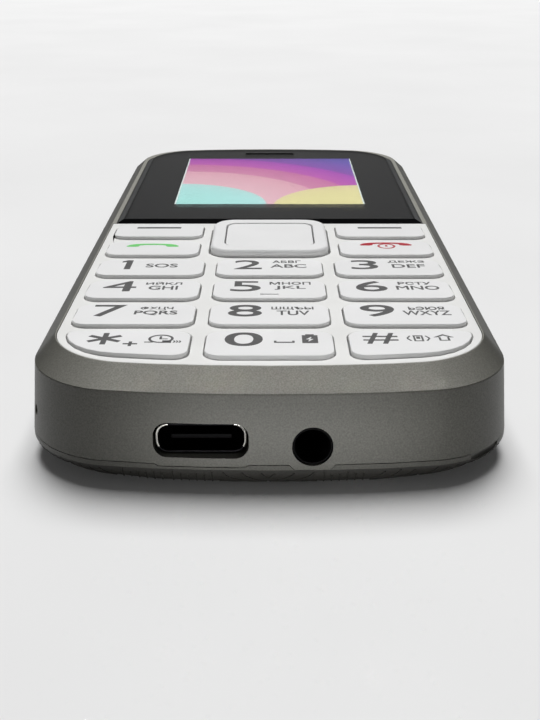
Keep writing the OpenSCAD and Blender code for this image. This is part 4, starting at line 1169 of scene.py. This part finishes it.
def drawLegend(bm, node):
    digit = node[-1]
    if digit in digitRows:
        x, width = digitRows[digit]
        textInk(bm, digit, x, printing["digitY"], width, printing["digitHeight"], printing["digitBold"])
    for row, lifts in printing["lifts"].items():
        if digit in row:
            for (text, x, width), y, height in zip(letterRows.get(node, ()), lifts, printing["letterHeights"]):
                textInk(bm, text, x, y, width, height)
    for draw, *how in signs.get(node, ()):
        draw(bm, *how)


def onKeyTop(bm, node, lift=0, along=0):
    # bring what was drawn flat onto the sloping top of a key
    middle = keyBox(node)[2]
    place = Matrix.Translation((middle.x, middle.y, keyMidZ + lift)) @ Matrix.Rotation(-keyTip, 4, "X")
    bmesh.ops.transform(bm, matrix=place @ Matrix.Translation((0, along, 0)), verts=bm.verts[:])


inks = {"call_key": greenInk, "end_key": redInk}
for node in digitKeys + sideKeys:
    bm = bmesh.new()
    drawLegend(bm, node)
    onKeyTop(bm, node, -printing["sunk"])
    dress(toObject(bm, "print_" + node, closed=False), node, [], inks.get(node, greyInk))


# raised bar on the middle key that the thumb finds by feel
touchBar = {"size": (2.2, 0.42, 0.3), "edge": 0.12, "along": -2.3}


def buildTouchBar():
    bm = bmesh.new()
    addBlock(bm, (0, 0, 0), touchBar["size"], touchBar["edge"], 3)
    onKeyTop(bm, "key_5", along=touchBar["along"])
    dress(toObject(bm, "touch_bar"), "key_5", [], keyAbs)


buildTouchBar()
print("print done")


# Battery with rounded edges

pack = {"corner": 1.5, "edge": 0.5}


def buildBattery():
    low, high, middle = nodeBox("battery")
    bm = bmesh.new()
    foot = roundRect(bm, middle.x, middle.y, high.x - low.x, high.y - low.y, pack["corner"], low.z)
    top = pull(bm, foot, (0, 0, high.z - low.z))
    softenEdges(bm, top.edges, pack["edge"])
    softenEdges(bm, [e for e in bm.edges if all(abs(v.co.z - low.z) < levelGap for v in e.verts)], pack["edge"])
    dress(toObject(bm, "battery_pack"), "phone", ["battery"], batteryFilm)


buildBattery()
print("battery done")


# Frame nodes that keep their own shape

finishes = {
    "earpiece_mesh": gauze, "nav_base": siliconeMat, "key_mat": siliconeMat, "dome_switches": domeSteel,
    "main_board": boardMask, "shield_can": tinPlate, "card_sockets": tinPlate, "lcd_panel": displayGlow,
    "lcd_backlight": lightGuide, "lcd_flex": polyimide, "earpiece_speaker": speakerBlack,
    "microphone": micCan, "mic_boot": blackRubber, "rear_chassis": chassisAbs, "loudspeaker": speakerBlack,
    "vibration_motor": tinPlate, "antenna": brassFoil, "battery_contacts": goldFlash,
    "chassis_screws": screwZinc,
}
for node, material in finishes.items():
    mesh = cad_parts[node].data
    mesh.materials.clear()
    mesh.materials.append(material)
print("frame nodes finished")


# Pale table, soft studio light

studio = {
    "floorColour": ("#dcdcdc", "#e0e0e0"), "floorBounce": "#7c7c7c", "floorGlow": 0.035, "floorRadius": 4,
    "lamps": {
        "ceiling": {"place": (0, 1.7, 4.2), "aim": (0, 0, 0), "size": (2.4, 3.2), "power": 250, "spread": 180,
                    "mirrored": False},  # no white glare in the window when it is seen from above
        "snoot": {"place": (0, -0.3585, 0.0196), "aim": (0.002, -0.0585, 0.006), "size": (0.03, 0.003),
                  "power": 0.00055, "spread": 4.0, "mirrored": True},
    },
    "skyFront": 0.1, "skyBack": 0.122, "skySides": 0.2,
    "skyBelow": 0.5, "skyEdge": (-0.02, -0.15),  # light from below the horizon, for views from underneath
}


def tableTop():
    # smooth matt laminate; seen from below it isn't there at all, so the back shows and gets light
    material, add, where = startMaterial("paleLaminate")
    dark, light = studio["floorColour"]
    speckle = add("TexNoise", {"Vector": where, "Scale": perMetre(60), "Detail": 3.0})
    colour = add("ValToRGB", {"Fac": speckle}, [(0.3, dark), (0.7, light)])
    ray = add("LightPath").outputs
    seen = add("Math", {0: ray["Is Camera Ray"], 1: ray["Is Glossy Ray"]}, operation="MAXIMUM")
    seen = add("Math", {0: seen, 1: ray["Is Transmission Ray"]}, operation="MAXIMUM")
    shown = add("MixRGB", {"Fac": seen, "Color1": toLinear(studio["floorBounce"]), "Color2": colour})
    matt = add("BsdfDiffuse", {"Color": shown})
    veil = add("Math", {0: ray["Is Camera Ray"], 1: studio["floorGlow"]}, operation="MULTIPLY")
    glow = add("Emission", {"Color": colour, "Strength": veil})
    lit = add("AddShader", {0: matt, 1: glow})
    clear = add("BsdfTransparent")
    passed = add("Math", {0: ray["Transparent Depth"], 1: 0.5}, operation="GREATER_THAN")
    behind = add("NewGeometry").outputs["Backfacing"]
    unseen = add("Math", {0: behind, 1: passed}, operation="MAXIMUM")
    return endMaterial(material, add("MixShader", {0: unseen, 1: lit, 2: clear}))


def buildTable():
    bm = bmesh.new()
    bmesh.ops.create_circle(bm, cap_ends=True, segments=64, radius=studio["floorRadius"])
    floor = toObject(bm, "table")
    if floor.data.polygons[0].normal.z < 0:
        floor.data.flip_normals()
    floor.data.materials.append(tableTop())


def hangLamps():
    for name, kit in studio["lamps"].items():
        lamp = bpy.data.lights.new(name, "AREA")
        lamp.shape = "RECTANGLE"
        lamp.size, lamp.size_y = kit["size"]
        lamp.energy = kit["power"]
        lamp.spread = math.radians(kit["spread"])
        holder = addToScene(name, lamp)
        holder.location = kit["place"]
        holder.visible_glossy = holder.visible_transmission = kit["mirrored"]
        holder.rotation_euler = (Vector(kit["aim"]) - holder.location).to_track_quat("-Z", "Y").to_euler()


def paintSky():
    # dim all round, dimmer at the sides
    world = bpy.data.worlds.new("studio")
    bpy.context.scene.world = world
    world.use_nodes = True
    world.node_tree.nodes.clear()
    add = partial(addNode, world.node_tree)
    axes = add("SeparateXYZ", {"Vector": add("TexCoord").outputs["Generated"]})
    level = add("MapRange", {"Value": axes.outputs["Y"], "From Min": -1.0, "From Max": 1.0,
                             "To Min": studio["skyFront"], "To Max": studio["skyBack"]})
    across = add("Math", {0: axes.outputs["X"]}, operation="ABSOLUTE")
    dim = add("MapRange", {"Value": across, "To Min": 1.0, "To Max": studio["skySides"]})
    level = add("Math", {0: level, 1: dim}, operation="MULTIPLY")
    high, low = studio["skyEdge"]
    below = add("MapRange", {"Value": axes.outputs["Z"], "From Min": high, "From Max": low,
                             "To Max": studio["skyBelow"]})
    level = add("Math", {0: level, 1: below}, operation="ADD")
    sky = add("Background", {"Color": toLinear("#ffffff"), "Strength": level})
    add("OutputWorld", {"Surface": sky})


buildTable()
hangLamps()
paintSky()
bpy.context.scene.view_settings.view_transform = "Standard"
print("studio done")
